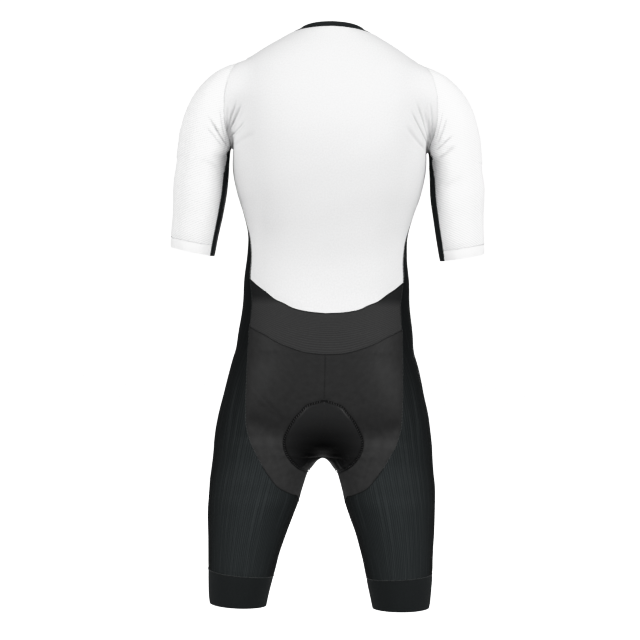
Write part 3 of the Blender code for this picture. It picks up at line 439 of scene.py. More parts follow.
def coons(low, high, first, last):
    """A net between four edges: low and high along it, first and last up its sides."""
    u = np.linspace(0, 1, len(low))[None, :, None]
    v = np.linspace(0, 1, len(first))[:, None, None]
    rows = (1 - v) * low[None] + v * high[None]
    columns = (1 - u) * first[:, None] + u * last[:, None]
    corners = (1 - v) * ((1 - u) * low[0] + u * low[-1]) + v * ((1 - u) * high[0] + u * high[-1])
    return rows + columns - corners


def refined(net):
    """The net with FINE rows in place of each one, on smooth curves through its points."""
    places = np.arange(len(net), dtype=float)
    flat = net.reshape(len(net), -1)
    at = np.linspace(0, len(net) - 1, (len(net) - 1) * FINE + 1)
    return read((places, flat, np.gradient(flat, places, axis=0)), at).reshape(len(at), *net.shape[1:])


def settled(points, rounds=3):
    """Points near the form moved onto it."""
    for _ in range(rounds):
        points = points - form(points)[..., None] * outward(points)
    return points


def ruled(first, last, cells):
    """Rows on the form between two lines of as many points."""
    share = np.linspace(0, 1, cells + 1)[:, None, None]
    rows = first + share * (last - first)
    rows[1:-1] = settled(rows[1:-1])
    return rows


def panel_grid(bottom, top, left, right, chart, point, dense_rows=(), dense_columns=()):
    """A grid of points on the form between four lines of points whose corners agree."""
    edges = [chart(edge) for edge in (bottom, top, left, right)]
    net = evened(coons(*(edge[::FINE] for edge in edges)))
    net = refined(refined(net).swapaxes(0, 1)).swapaxes(0, 1)
    net += coons(edges[0] - net[0], edges[1] - net[-1], edges[2] - net[:, 0], edges[3] - net[:, -1])
    rows, columns = kept(len(left), dense_rows), kept(len(bottom), dense_columns)
    grid = point(net[rows][:, columns])
    grid[0], grid[-1], grid[:, 0], grid[:, -1] = bottom[columns], top[columns], left[rows], right[rows]
    return grid


def spread_out(grid, cells=2 * FINE):
    """The grid with the columns beside its last one spaced evenly, as the chart leaves a wide last cell."""
    for row in grid[1:-1]:
        row[-cells - 1 :] = spaced(row[-cells - 1 :], cells)
    grid[1:-1, -cells:-1] = settled(grid[1:-1, -cells:-1])
    return grid


def kept(count, dense=()):
    """Which of count fine lines stay: all in the dense cells of the solids' grid, every other elsewhere."""
    lines = np.arange(count)
    cell = lines // FINE
    in_dense = np.isin(cell, dense) | np.isin(cell - (lines % FINE == 0), dense)
    return lines[in_dense | (lines % COARSE_STEP == 0)]


def evened(chart):
    """The chart grid with its inside points spread evenly, and never folded, between its fixed edges."""
    scale = np.ptp(chart.reshape(-1, 2), axis=0)
    net = chart / scale
    for _ in range(EVENING_ROUNDS):
        right, left = net[1:-1, 2:], net[1:-1, :-2]
        above, below = net[2:, 1:-1], net[:-2, 1:-1]
        across, along = (right - left) / 2, (above - below) / 2
        a = np.sum(along * along, axis=-1, keepdims=True)
        b = np.sum(across * along, axis=-1, keepdims=True)
        c = np.sum(across * across, axis=-1, keepdims=True)
        twist = (net[2:, 2:] - net[2:, :-2] - net[:-2, 2:] + net[:-2, :-2]) / 4
        net[1:-1, 1:-1] = (a * (right + left) + c * (above + below) - 2 * b * twist) / (2 * (a + c))
    return net * scale


# ---------------- seams, as lines of points on the left half

NECKLINE_CURVES = curves(NECKLINE, NECKLINE_COLUMNS)
ARMHOLE_CURVE = curves(ARMHOLE, ARMHOLE_COLUMNS)
WAIST_BACK_CURVES = curves(WAIST_BACK, WAIST_BACK_COLUMNS)
WAIST_FRONT_CURVE = curves(WAIST_FRONT, WAIST_FRONT_COLUMNS)
SEAT_EDGE_CURVE = curves(SEAT_EDGE, EDGE_COLUMNS)
SHORTS_EDGE_CURVE = curves(SHORTS_EDGE, EDGE_COLUMNS)
PAD_EDGE_CURVE = curves(PAD_EDGE, EDGE_COLUMNS)
WAIST_TOP_Z = WAIST_BACK[-1][1] * MM
WAIST_LOW_Z = WAIST_BACK[-1][2] * MM
FRONT_WAIST_Z = WAIST_FRONT[-1][1] * MM


def neckline(angles, which):
    """Points of the neckline's seam or its upper edge, at angles from -90 in front to 90 behind."""
    z = read(NECKLINE_CURVES, np.asarray(angles, float))[..., NECKLINE_COLUMNS.index(which) - 1]
    turn = np.radians(angles)
    return cast(vector(0, 0, z), vector(np.cos(turn), np.sin(turn), 0))


def shoulder_angle():
    """The angle at which the shoulder seam meets the neckline, a little in front of the shoulder's ridge."""
    return -math.degrees(math.atan2(SHOULDER_FORWARD, NECK_SIDE_X))


def neck_seams(which):
    """(front, back) halves of the neckline, each from the shoulder seam to the middle."""
    turn = shoulder_angle()
    front, back = (neckline(np.linspace(turn, end, SHORT_LINE), which) for end in (-90, 90))
    front = front[front[:, 0] > ZIP_HALF_GAP + 0.5 * MM]
    edge = front[-1] * (0, 1, 1) + (ZIP_HALF_GAP, 0, 0)
    return spaced(np.vstack([front, edge]), NECK_CELLS), spaced(back, NECK_CELLS)


def armhole(angles):
    """Points of the armhole seam at angles round it: 90 on the shoulder, 0 behind, -90 in the armpit."""
    turn = np.radians(angles)

    def path(t):
        z = ARMHOLE_CENTRE_Z + ARMHOLE_REACH * t * np.sin(turn)
        return vector(read(ARMHOLE_CURVE, z), ARMHOLE_REACH * t * np.cos(turn), z)

    return crossing(path, turn.shape, ARMHOLE_REACH)


def armhole_angles():
    """Angles of the armhole's points: down behind to the side seam, across the strip, and up in front."""
    top = math.degrees(math.atan2(ARMHOLE_RISE, -SHOULDER_FORWARD))
    back = np.linspace(top, SIDE_TOP_BACK, UPPER_ARMHOLE_CELLS + 1)
    strip = np.linspace(SIDE_TOP_BACK, SIDE_TOP_FRONT, STRIP_CELLS + 1)
    front = np.linspace(SIDE_TOP_FRONT, top - 360, UPPER_ARMHOLE_CELLS + 1)
    return back, strip, front


def shoulder_seam():
    """From the neckline out to the armhole, along the top of the shoulder."""
    start = neckline(np.array([shoulder_angle()]), "seam")[0]
    end = armhole(armhole_angles()[0][:1])[0]
    line = start + np.linspace(0, 1, SHOULDER_LINE)[:, None] * (end - start)
    points = cast(line * (1, 1, 0) + (0, 0, CHEST_Z), vector(0, 0, 1))
    points[0], points[-1] = start, end
    return spaced(points, SHOULDER_CELLS)


def side_seam(which, low, cells):
    """The side seam from the armhole down to the given height, behind or in front of the side strip."""
    top = SIDE_TOP_BACK if which == "back" else SIDE_TOP_FRONT
    start = armhole(np.array([float(top)]))[0]
    column = SIDE_COLUMNS.index(which)
    table = [(row[0], row[column]) for row in SIDE_SEAM] + [(start[2] / MM, start[1] / MM)]
    z = np.linspace(start[2] - 6 * MM, low, MIDDLE_LINE)
    y = read(curves(table, ("z", "y")), z)
    points = cast(vector(0, y, z), vector(1, 0, 0))
    return spaced(np.vstack([start, points]), cells)


def pelvis_edge(curve, cells, start, front):
    """The outer edge of a seat or shorts panel, from its start at the waist to the inseam."""
    girth = np.linspace(curve[0][0], UNDER, LONG_LINE)
    points = pelvis_point(np.stack([read(curve, girth), 2 * UNDER - girth if front else girth], axis=-1))
    points[0] = start
    return spaced(points, cells)


def waist_line(which, end, start_x=0.0):
    """Half of a waist seam, from near the centre out to its end on the side seam: top or bottom, or front."""
    x = np.linspace(start_x, end[0], SHORT_LINE)
    if which == "front":
        z, behind = read(WAIST_FRONT_CURVE, x), -1
    else:
        z, behind = read(WAIST_BACK_CURVES, x)[:, WAIST_BACK_COLUMNS.index(which) - 1], 1
    z = z + (end[2] - z[-1]) * x / end[0]
    points = cast(vector(x, 0, z), vector(0, behind, 0))
    points[-1] = end
    return spaced(points, PANEL_CELLS)


# ---------------- materials

LEG_RIB_RADIUS = 85 * MM
# Centre of the painted shade on the pad's face, near the crotch.
PAD_SHADE_CENTRE = (0, 0.085, -0.688)
TROUGH_SHADE = 0.6
SEAT_GREYS = ((0.022, 0.022, 0.0222), (0.0285, 0.0285, 0.0288))
# Paler greys of the seat's lower part, which are painted light.
PAINTED_LIGHT_SEAT_GREYS = ((0.043, 0.043, 0.0432), (0.056, 0.056, 0.0563))
RIB_PITCH = 4.0 * MM
RIB_SLOPE = -0.4
HOLE_PITCH = 2.6 * MM
SIDE_RIB_PITCH = 3.3 * MM
COURSE_PITCH = 3.4 * MM


class Graph:
    """A material's nodes, written as expressions. Lengths inside are in metres on the cut cloth."""

    def __init__(self, name, colour, roughness, metallic=0.0, gloss=0.5):
        self.material = bpy.data.materials.new(name)
        self.material.use_nodes = True
        self.tree = self.material.node_tree
        self.shader = self.tree.nodes["Principled BSDF"]
        self.shader.inputs["Base Color"].default_value = (*colour, 1)
        self.shader.inputs["Roughness"].default_value = roughness
        self.shader.inputs["Metallic"].default_value = metallic
        self.shader.inputs["Specular IOR Level"].default_value = gloss

    def add(self, kind, output=0, settings=(), **inputs):
        made = self.tree.nodes.new(kind)
        for key, value in dict(settings).items():
            setattr(made, key, value)
        for key, value in inputs.items():
            self.feed(made.inputs[int(key[1:]) if key[1:].isdigit() else key.replace("_", " ")], value)
        return made.outputs[output]

    def feed(self, socket, value):
        if isinstance(value, bpy.types.NodeSocket):
            self.tree.links.new(value, socket)
        else:
            socket.default_value = value

    def math(self, operation, a, b=0.0, c=0.0):
        return self.add("ShaderNodeMath", settings={"operation": operation}, i0=a, i1=b, i2=c)

    def times(self, a, b):
        return self.math("MULTIPLY", a, b)

    def cut(self):
        """(across, down, both) sockets of the cloth's own map."""
        uv = self.add("ShaderNodeUVMap", settings={"uv_map": "cut"})
        return *self.parts(uv)[:2], uv

    def parts(self, place):
        """The x, y and z sockets of a place."""
        made = self.tree.nodes.new("ShaderNodeSeparateXYZ")
        self.feed(made.inputs[0], place)
        return list(made.outputs)

    def place(self):
        """The place in the object's own space."""
        return self.add("ShaderNodeTexCoord", "Object")

    def painted(self, name):
        """The number that paint() stores under that name."""
        return self.add("ShaderNodeAttribute", "Fac", {"attribute_name": name})

    def in_troughs(self, plain, dark):
        """The plain colour, with painted shade in the creases and hollows."""
        return self.mixed(self.times(self.painted("trough"), TROUGH_SHADE), plain, dark)

    def wave(self, along, pitch):
        """A wave from 0 to 1 along a coordinate, one crest per pitch."""
        turned = self.math("SINE", self.times(along, 2 * math.pi / pitch))
        return self.math("MULTIPLY_ADD", turned, 0.5, 0.5)

    def noise(self, place, scale, detail=2.0, stretch=(1, 1, 1)):
        """Soft noise about 0.5, with the given features per metre."""
        at = self.add("ShaderNodeMapping", Vector=place, Scale=stretch)
        return self.add("ShaderNodeTexNoise", Vector=at, Scale=scale, Detail=detail)

    def mixed(self, share, low, high):
        """The colour between two colours."""
        low, high = (end if isinstance(end, bpy.types.NodeSocket) else (*end, 1) for end in (low, high))
        return self.add("ShaderNodeMix", 2, {"data_type": "RGBA"}, i0=share, i6=low, i7=high)

    def range(self, value, low, high, to_low=0.0, to_high=1.0):
        ends = {"From_Min": low, "From_Max": high, "To_Min": to_low, "To_Max": to_high}
        return self.add("ShaderNodeMapRange", Value=value, **ends)

    def colour(self, value):
        self.feed(self.shader.inputs["Base Color"], value)

    def roughness(self, value):
        self.feed(self.shader.inputs["Roughness"], value)

    def bump(self, height, distance, strength=1.0):
        """Lays a height from 0 to 1, distance metres tall, on the surface."""
        made = self.add("ShaderNodeBump", Height=height, Distance=distance, Strength=strength)
        self.feed(self.shader.inputs["Normal"], made)


def white_knit():
    """Smooth woven-looking lycra with a very fine crossing grain."""
    g = Graph("white_knit_cloth", (0.79, 0.79, 0.79), 0.85, gloss=0.2)
    across, down, uv = g.cut()
    grain = g.times(g.wave(across, 1.3 * MM), g.wave(down, 1.1 * MM))
    blotch = g.noise(uv, 380, 3)
    plain = g.mixed(g.range(blotch, 0.3, 0.7), (0.77, 0.77, 0.772), (0.83, 0.83, 0.832))
    g.colour(g.in_troughs(plain, (0.25, 0.25, 0.255)))
    g.bump(g.math("MULTIPLY_ADD", blotch, 0.6, grain), 0.08 * MM, 0.6)
    return g.material


def white_mesh():
    """Open ribbed mesh: raised slanting ribs, with rows of tiny holes between them."""
    g = Graph("white_mesh_cloth", (0.93, 0.93, 0.93), 0.85, gloss=0.2)
    across, down, uv = g.cut()
    slant = g.math("MULTIPLY_ADD", across, RIB_SLOPE, down)
    rib = g.wave(slant, RIB_PITCH)
    cell = g.wave(g.math("MULTIPLY_ADD", down, -RIB_SLOPE, across), HOLE_PITCH)
    holes = g.times(g.range(rib, 0.45, 0.1), g.range(cell, 0.35, 0.75))
    blotch = g.noise(uv, 190, 2)
    body = g.mixed(g.range(rib, 0.0, 1.0), (0.905, 0.905, 0.906), (0.995, 0.995, 0.995))
    plain = g.mixed(g.times(holes, 0.45), body, (0.7, 0.7, 0.71))
    g.colour(g.in_troughs(plain, (0.3, 0.3, 0.305)))
    g.bump(g.math("MULTIPLY_ADD", holes, -0.8, g.math("MULTIPLY_ADD", blotch, 0.3, rib)), 0.22 * MM, 0.7)
    return g.material


def cuff_white():
    """The folded plain end of the sleeve."""
    g = Graph("cuff_cloth", (0.96, 0.96, 0.96), 0.85, gloss=0.2)
    across, down, uv = g.cut()
    g.bump(g.math("ADD", g.wave(across, 1.2 * MM), g.noise(uv, 400, 2)), 0.08 * MM, 0.6)
    return g.material


def ribbed_black():
    """Side and leg panels: fine ribs down the leg, with lighter streaks that are partly the cloth's own and
    partly painted sheen, and painted sheen that makes each leg paler down its middle and lower down.
    """
    g = Graph("ribbed_black_cloth", (0.01, 0.012, 0.012), 0.62, gloss=0.09)
    across, down, uv = g.cut()
    ribs = g.wave(across, SIDE_RIB_PITCH)
    streak = g.noise(uv, 1.0, 2, stretch=(300, 7, 1))
    fleck = g.noise(uv, 1.0, 2, stretch=(700, 30, 1))
    turn = g.math("ABSOLUTE", g.math("SINE", g.math("DIVIDE", across, LEG_RIB_RADIUS)))
    # Painted sheen: paler down the middle of each leg and lower down.
    painted_sheen = g.times(g.range(down, -0.5, -0.74), g.range(turn, 0.5, 1.0))
    # Lighter streaks, partly the cloth's own and partly painted sheen, strongest where the painted sheen is.
    light = g.times(g.range(streak, 0.52, 0.85), g.math("MULTIPLY_ADD", painted_sheen, 0.85, 0.15))
    plain_ribs = g.mixed(ribs, (0.003, 0.0039, 0.0042), (0.006, 0.0076, 0.008))
    base = g.mixed(painted_sheen, plain_ribs, g.mixed(ribs, (0.026, 0.0308, 0.0322), (0.0425, 0.0497, 0.0513)))
    g.colour(g.mixed(light, base, (0.06, 0.068, 0.07)))
    g.bump(g.math("MULTIPLY_ADD", fleck, 0.35, ribs), 0.3 * MM, 0.8)
    return g.material


def charcoal_knit():
    """Seat cloth with painted light that makes it paler below, and the pad's darker, glossier face inside its
    outline, with painted shade darkest near the crotch.
    """
    g = Graph("charcoal_cloth", (0.022, 0.022, 0.022), 0.55, gloss=0.2)
    across, down, uv = g.cut()
    pad = g.painted("pad")
    inside = g.range(pad, 0.6 * MM, 1.8 * MM)
    grain = g.times(g.wave(across, 1.1 * MM), g.wave(down, 1.3 * MM))
    blotch = g.noise(uv, 90, 3)
    place = g.place()
    # Painted light: the seat turns paler below this height.
    low = g.range(g.parts(place)[2], -0.652, -0.672)
    worn = g.range(blotch, 0.3, 0.7)
    plain = g.mixed(low, g.mixed(worn, *SEAT_GREYS), g.mixed(worn, *PAINTED_LIGHT_SEAT_GREYS))
    # Painted shade: the pad's face, darker than the seat, grows darker still towards the crotch, and less
    # glossy there.
    away = g.add("ShaderNodeVectorMath", "Value", {"operation": "DISTANCE"}, i0=place, i1=PAD_SHADE_CENTRE)
    pad_face_and_shade = g.mixed(g.range(away, 12 * MM, 70 * MM), (0.0008, 0.0008, 0.0009), (0.02, 0.0204, 0.0209))
    rim = g.range(g.math("ABSOLUTE", pad), 2.7 * MM, 1.4 * MM)
    g.colour(g.mixed(rim, g.mixed(inside, plain, pad_face_and_shade), (0.0015, 0.0015, 0.0017)))
    g.roughness(g.range(inside, 0, 1, 0.55, 0.42))
    g.feed(g.shader.inputs["Specular IOR Level"], g.range(away, 20 * MM, 60 * MM, 0.03, 0.2))
    g.bump(g.math("MULTIPLY_ADD", blotch, 0.4, grain), 0.08 * MM, 0.6)
    return g.material


def waist_knit():
    """Waist panel with fine courses across it."""
    g = Graph("waist_cloth", (0.03, 0.03, 0.03), 0.7, gloss=0.2)
    across, down, uv = g.cut()
    courses = g.wave(down, COURSE_PITCH)
    fleck = g.noise(uv, 1.0, 2, stretch=(180, 900, 1))
    x, y, z = g.parts(g.place())
    corner = g.times(g.range(g.math("ABSOLUTE", x), 66 * MM, 88 * MM), g.range(z, -455 * MM, -441 * MM))
    mottle = g.math("MULTIPLY_ADD", fleck, 0.5, g.times(courses, 0.5))
    plain = g.mixed(mottle, (0.028, 0.028, 0.0282), (0.058, 0.058, 0.0585))
    g.colour(g.mixed(corner, plain, (0.011, 0.0118, 0.0122)))
    g.bump(courses, 0.2 * MM, 0.8)
    return g.material


def black_knit():
    """Plain black binding, leg bands and underarm strips."""
    g = Graph("black_cloth", (0.01, 0.012, 0.0125), 0.6, gloss=0.18)
    across, down, uv = g.cut()
    wales = g.wave(across, 1.6 * MM)
    fleck = g.noise(uv, 500, 2)
    g.colour(g.mixed(g.times(wales, fleck), (0.0125, 0.0152, 0.0161), (0.0233, 0.0278, 0.0287)))
    g.bump(wales, 0.15 * MM, 0.7)
    return g.material


def tape_cloth():
    g = Graph("zip_tape_weave", (0.012, 0.013, 0.014), 0.8, gloss=0.2)
    x, y, z = g.parts(g.place())
    g.bump(g.math("ADD", g.wave(z, 1.0 * MM), g.wave(x, 1.2 * MM)), 0.2 * MM, 0.8)
    return g.material


def dark_metal():
    g = Graph("zip_metal", (0.16, 0.16, 0.17), 0.34, metallic=1.0)
    g.roughness(g.range(g.noise(g.place(), 900, 3), 0.3, 0.7, 0.28, 0.42))
    return g.material


def rough(name, colour, roughness=0.7, gloss=0.25, noise=(2500, 2), bump=(0.1 * MM, 0.5)):
    """One colour with fine unevenness, such as twisted thread."""
    g = Graph(name, colour, roughness, gloss=gloss)
    g.bump(g.noise(g.place(), *noise), *bump)
    return g.material


WHITE_KNIT = white_knit()
WHITE_MESH = white_mesh()
CUFF_WHITE = cuff_white()
RIBBED_BLACK = ribbed_black()
CHARCOAL_KNIT = charcoal_knit()
WAIST_KNIT = waist_knit()
BLACK_KNIT = black_knit()
PAD_FABRIC = rough("pad_cloth", (0.012, 0.012, 0.014), 0.9, 0.2, (700, 3), (0.3 * MM, 0.7))
WHITE_THREAD = rough("white_thread", (0.8, 0.8, 0.8))
GREY_THREAD = rough("grey_thread", (0.11, 0.115, 0.115))
RIM_THREAD = rough("rim_thread", (0.06, 0.061, 0.062))
BLACK_THREAD = rough("black_thread", (0.008, 0.009, 0.009))
COIL_PLASTIC = rough("zip_coil", (0.018, 0.018, 0.02), 0.35)


# ---------------- relief: creases, sag and the pad's print

# Creases pulled towards the armpits, and a few elsewhere, in millimetres: x and z of the soft end, x and z
# of the tight end, half the trough's width, its depth. A trough has a lower ridge on its upper side.
BODY_BACK_CREASES = (
    (145, -126, 167, -171, 1.8, 1.8), (154, -120, 168, -166, 1.5, 1.4), (160, -132, 169, -172, 1.4, 1.0),
    (139, -155, 165, -180, 1.6, 1.5), (168, -128, 171, -172, 1.4, 1.0), (121, -174, 158, -196, 4.2, 0.44),
    (-131, -132, -160, -182, 1.8, 1.8), (-139, -118, -162, -177, 1.6, 1.6),
    (-152, -130, -165, -175, 1.4, 1.3), (-163, -119, -168, -164, 1.5, 1.1),
    (-123, -158, -156, -192, 3.4, 1.0), (-158, -139, -167, -177, 1.4, 0.8),
)
BODY_FRONT_CREASES = (
    (128, -120, 164, -166, 2.0, 1.6), (114, -141, 161, -180, 1.8, 1.5), (137, -172, 160, -199, 1.6, 1.1),
    (151, -109, 169, -150, 1.5, 1.0), (-122, -128, -162, -172, 1.8, 1.6),
    (-139, -111, -167, -158, 1.6, 1.3), (-112, -152, -158, -190, 3.4, 1.6),
    (-134, -184, -158, -206, 1.5, 0.9),
)
SLEEVE_BACK_CREASES = (
    (201, -147, 173, -190, 1.8, 1.7), (191, -160, 176, -188, 1.5, 1.3), (183, -132, 174, -178, 1.4, 1.0),
    (206, -166, 178, -193, 1.6, 1.0), (216, -216, 186, -232, 4.5, 0.39), (-192, -140, -178, -181, 1.6, 1.4),
    (-202, -169, -178, -193, 1.6, 1.4), (-184, -128, -175, -176, 1.4, 1.0),
    (-208, -188, -181, -204, 3.4, 1.1), (-222, -238, -189, -250, 4.6, 0.33),
)
SLEEVE_FRONT_CREASES = (
    (205, -138, 178, -180, 1.8, 1.5), (196, -120, 174, -168, 1.6, 1.2), (214, -170, 179, -196, 2.0, 1.2),
    (219, -210, 186, -224, 4.4, 0.44), (-203, -132, -177, -176, 1.8, 1.4),
    (-211, -163, -179, -192, 1.8, 1.3), (-194, -116, -173, -160, 1.5, 1.0),
    (-217, -226, -187, -238, 4.5, 0.39),
)
SEAT_CREASES = (
    (124, -590, 74, -634, 1.8, -0.9), (112, -612, 66, -646, 6.0, 0.8), (56, -668, 128, -650, 14.0, 2.0),
    (-60, -668, -130, -654, 13.0, 2.2), (24, -698, 37, -718, 1.6, 0.9), (-19, -706, -30, -724, 1.6, 1.1),
    (-25, -701, -38, -721, 1.5, 1.2), (-32, -697, -46, -716, 1.5, 1.1), (-40, -693, -53, -709, 1.5, 0.9),
)
SHORTS_CREASES = (
    (96, -556, 40, -640, 5.0, 1.8), (70, -604, 30, -668, 4.0, 1.5), (-102, -568, -44, -646, 5.0, 1.7),
    (-62, -616, -26, -672, 3.8, 1.4),
)
# A crease along its run, from 0 to 1: where it starts and ends and over how much it fades, how deep its soft
# end is, how wide it is and how much narrower its tight end, how it wanders, and its ridge, in trough widths.
CREASE_START, CREASE_RISE = -0.05, 0.35
CREASE_END, CREASE_FALL = 1.15, 0.3
SOFT_DEPTH = 0.65
SOFT_WIDTH, NARROWING = 1.25, 0.4
WANDER, WANDER_TURN, WANDER_PHASE = 0.5, 3.3, 40
RIDGE_SHARE, RIDGE_PLACE, RIDGE_WIDTH = 0.8, 1.9, 1.1
# No folds cross the sleeve's outer side, where the tables for the front and the back meet.
OUTER_X, OUTER_FADE, OUTER_HALF_DEPTH = 190 * MM, 20 * MM, 30 * MM
# Shade in troughs of that depth
SHADE_DEPTH, DEEPEST_SHADE = 1.7 * MM, 0.8
# Shade in the hollow between sleeve and body: how dark, how far the cloth faces into the hollow where it
# starts, and how it fades with height above and below a level near the armpit.
HOLLOW_Z = -200 * MM
SLEEVE_HOLLOW, SLEEVE_FACING, SLEEVE_FACING_RANGE, SLEEVE_EASE = 0.8, 0.15, 0.65, 1.5
SLEEVE_TOP_FADE, SLEEVE_TOP, SLEEVE_FALL, SLEEVE_LEAST = 12 * MM, 1.05, 150 * MM, 0.15
BODY_HOLLOW, BODY_FACING, BODY_DROP, BODY_ABOVE, BODY_BELOW = 0.6, 0.75, 25 * MM, 30 * MM, 95 * MM
SAG = 0.45 * MM
STIFF_SAG = 0.3
SEAM_DIP = 0.55 * MM
CENTRE_SEAM_SHARE = 0.0
SEAM_ROLL = 5 * MM
PAD_PRINT = 1.3 * MM
PAD_GROOVE = 1.5 * MM
PAD_GROOVE_HALF = 2.2 * MM
PAD_SLOPE = 9 * MM
PAD_CROWN = 0.7


def creases(points, rows):
    """How far the creases of one table move points along the cloth's normal."""
    moved = np.zeros(len(points))
    for x0, z0, x1, z1, half_width, depth in np.array(rows) * MM:
        start, run = np.array([x0, z0]), np.array([x1 - x0, z1 - z0])
        reach = np.hypot(*run)
        along_unit = run / reach
        offset = points[:, (0, 2)] - start
        along = offset @ along_unit / reach
        across = offset @ np.array([-along_unit[1], along_unit[0]]) * np.sign(x0)
        across -= half_width * WANDER * np.sin(WANDER_TURN * along + WANDER_PHASE * x0 / reach)
        share = np.clip(along, 0, 1)
        rise, fall = (along - CREASE_START) / CREASE_RISE, (CREASE_END - along) / CREASE_FALL
        fade = np.clip(rise, 0, 1) * np.clip(fall, 0, 1)
        fade = fade * fade * (3 - 2 * fade) * (SOFT_DEPTH + (1 - SOFT_DEPTH) * share)
        width = half_width * (SOFT_WIDTH - NARROWING * share)
        trough = np.exp(-((across / width) ** 2))
        ridge = np.exp(-(((across + RIDGE_PLACE * width) / (RIDGE_WIDTH * width)) ** 2))
        moved += depth * fade * (RIDGE_SHARE * ridge - trough)
    return moved


def sag(points):
    """Slight unevenness of cloth that nothing fills, in waves of about 50 to 130 mm."""
    x, y, z = points.T / MM
    waves = np.sin(x / 17 + z / 29 + 0.6 * np.sin(z / 41)) + np.sin(y / 19 - z / 23 + x / 61 + 1.3)
    return SAG * 0.5 * (waves + 0.7 * np.sin(z / 11 + x / 37 + y / 31))


def pad_outline(count=PAD_LINE):
    """The seat pad's outline as (x, girth) points of its left half, from behind to the front."""
    girth = np.linspace(PAD_EDGE[0][0], PAD_EDGE[-1][0], count) * MM
    half = read(PAD_EDGE_CURVE, girth)
    return np.vstack([[0, girth[0]], np.stack([half, girth], axis=-1), [0, girth[-1]]])


def nearest(points, targets):
    """How far each point lies from the nearest of the targets."""
    tree = mathutils.kdtree.KDTree(len(targets))
    for k, target in enumerate(targets):
        tree.insert(target, k)
    tree.balance()
    return np.array([tree.find(point)[2] for point in points])


def pad_reach(points):
    """How far inside the pad's outline points lie, measured on the cloth, negative outside."""
    outline = pad_outline()
    chart = pelvis_chart(points)
    chart[:, 0] = np.abs(chart[:, 0])
    away = nearest(*(np.pad(places, ((0, 0), (0, 1))) for places in (chart, outline)))
    x, girth = chart.T
    inside = (girth > outline[0, 1]) & (girth < outline[-1, 1]) & (x < read(PAD_EDGE_CURVE, girth))
    return np.where(inside, away, -away)


CREASES_BEHIND = {"back_panel": BODY_BACK_CREASES, "sleeve": SLEEVE_BACK_CREASES, "seat": SEAT_CREASES}
CREASES_IN_FRONT = {
    "back_panel": BODY_FRONT_CREASES,
    "front": BODY_FRONT_CREASES,
    "sleeve": SLEEVE_FRONT_CREASES,
    "shorts_front": SHORTS_CREASES,
    "seat": SEAT_CREASES,
}


def relief(kind, points):
    """(stand-off, shade): how far a panel's cloth stands off the form, and how shaded it is, from 0 to 1."""
    behind, before = (creases(points, rows.get(kind, ())) for rows in (CREASES_BEHIND, CREASES_IN_FRONT))
    folded = np.where(points[:, 1] > 0, behind, before)
    outer = np.clip((np.abs(points[:, 0]) - OUTER_X) / OUTER_FADE, 0, 1)
    folded *= 1 - outer * np.clip(1 - np.abs(points[:, 1]) / OUTER_HALF_DEPTH, 0, 1)
    still = STIFF_SAG if kind in ("neckband", "cuff") else 1.0
    shade = np.clip(-folded / SHADE_DEPTH, 0, DEEPEST_SHADE)
    if kind in ("back_panel", "front", "sleeve"):
        shade = np.clip(shade + hollow_shade(kind, points), 0, 1)
    return sag(points) * still + folded, shade


def hollow_shade(kind, points):
    """Soft shade where sleeve and body face each other below the armpit."""
    normal = outward(points)
    below = points[:, 2] - HOLLOW_Z
    if kind == "sleeve":
        inward = -normal[:, 0] * np.sign(points[:, 0])
        turned = np.clip((inward - SLEEVE_FACING) / SLEEVE_FACING_RANGE, 0, 1) ** SLEEVE_EASE
        fall = np.clip(SLEEVE_TOP + below / SLEEVE_FALL, SLEEVE_LEAST, 1)
        return SLEEVE_HOLLOW * turned * np.clip(-below / SLEEVE_TOP_FADE, 0, 1) * fall
    turned = np.clip(1 - np.abs(normal[:, 1]) / BODY_FACING, 0, 1)
    below += BODY_DROP
    return BODY_HOLLOW * turned * np.exp(-((below / np.where(below > 0, BODY_ABOVE, BODY_BELOW)) ** 2))


# ---------------- walls and pieces

# Diagonals that differ by less than this count as even, so that both sides of the suit are cut alike.
EVEN_DIAGONALS = 1.0001


def split(corners, row, after, i, j):
    """A quad as two triangles, cut along its shorter diagonal."""
    a, b, c, d = corners
    if np.sum((row[i] - after[j + 1]) ** 2) <= np.sum((row[i + 1] - after[j]) ** 2) * EVEN_DIAGONALS:
        return [[a, b, c], [a, c, d]]
    return [[a, b, d], [b, c, d]]


def mesh_rows(rows):
    """(faces, rim) of the net through rows of points, whose counts may differ from row to row."""
    starts = np.cumsum([0] + [len(row) for row in rows])
    faces = []
    for k in range(len(rows) - 1):
        a, b, i, j = starts[k], starts[k + 1], 0, 0
        n, m = len(rows[k]) - 1, len(rows[k + 1]) - 1
        if n == m:
            low, high = np.arange(a, a + n), np.arange(b, b + n)
            quads = np.stack([low, low + 1, high + 1, high], axis=1)
            one = np.sum((rows[k][:-1] - rows[k + 1][1:]) ** 2, axis=1)
            other = np.sum((rows[k][1:] - rows[k + 1][:-1]) ** 2, axis=1)
            first = (one <= other * EVEN_DIAGONALS)[:, None]
            faces.append(np.where(first, quads[:, (0, 1, 2)], quads[:, (0, 1, 3)]))
            faces.append(np.where(first, quads[:, (0, 2, 3)], quads[:, (1, 2, 3)]))
            continue
        mixed = []
        while i < n or j < m:
            here, there = (i + 1) * m, (j + 1) * n
            if here == there:
                mixed += split([a + i, a + i + 1, b + j + 1, b + j], rows[k], rows[k + 1], i, j)
                i, j = i + 1, j + 1
            elif here < there:
                mixed.append([a + i, a + i + 1, b + j])
                i += 1
            else:
                mixed.append([a + i, b + j + 1, b + j])
                j += 1
        faces.append(np.array(mixed))
    last = starts[-2]
    rim = list(range(starts[1]))
    rim += [starts[k + 1] - 1 for k in range(1, len(rows) - 1)]
    rim += list(range(starts[-1] - 1, last - 1, -1))
    rim += [starts[k] for k in range(len(rows) - 2, 0, -1)]
    return np.vstack(faces), np.array(rim)


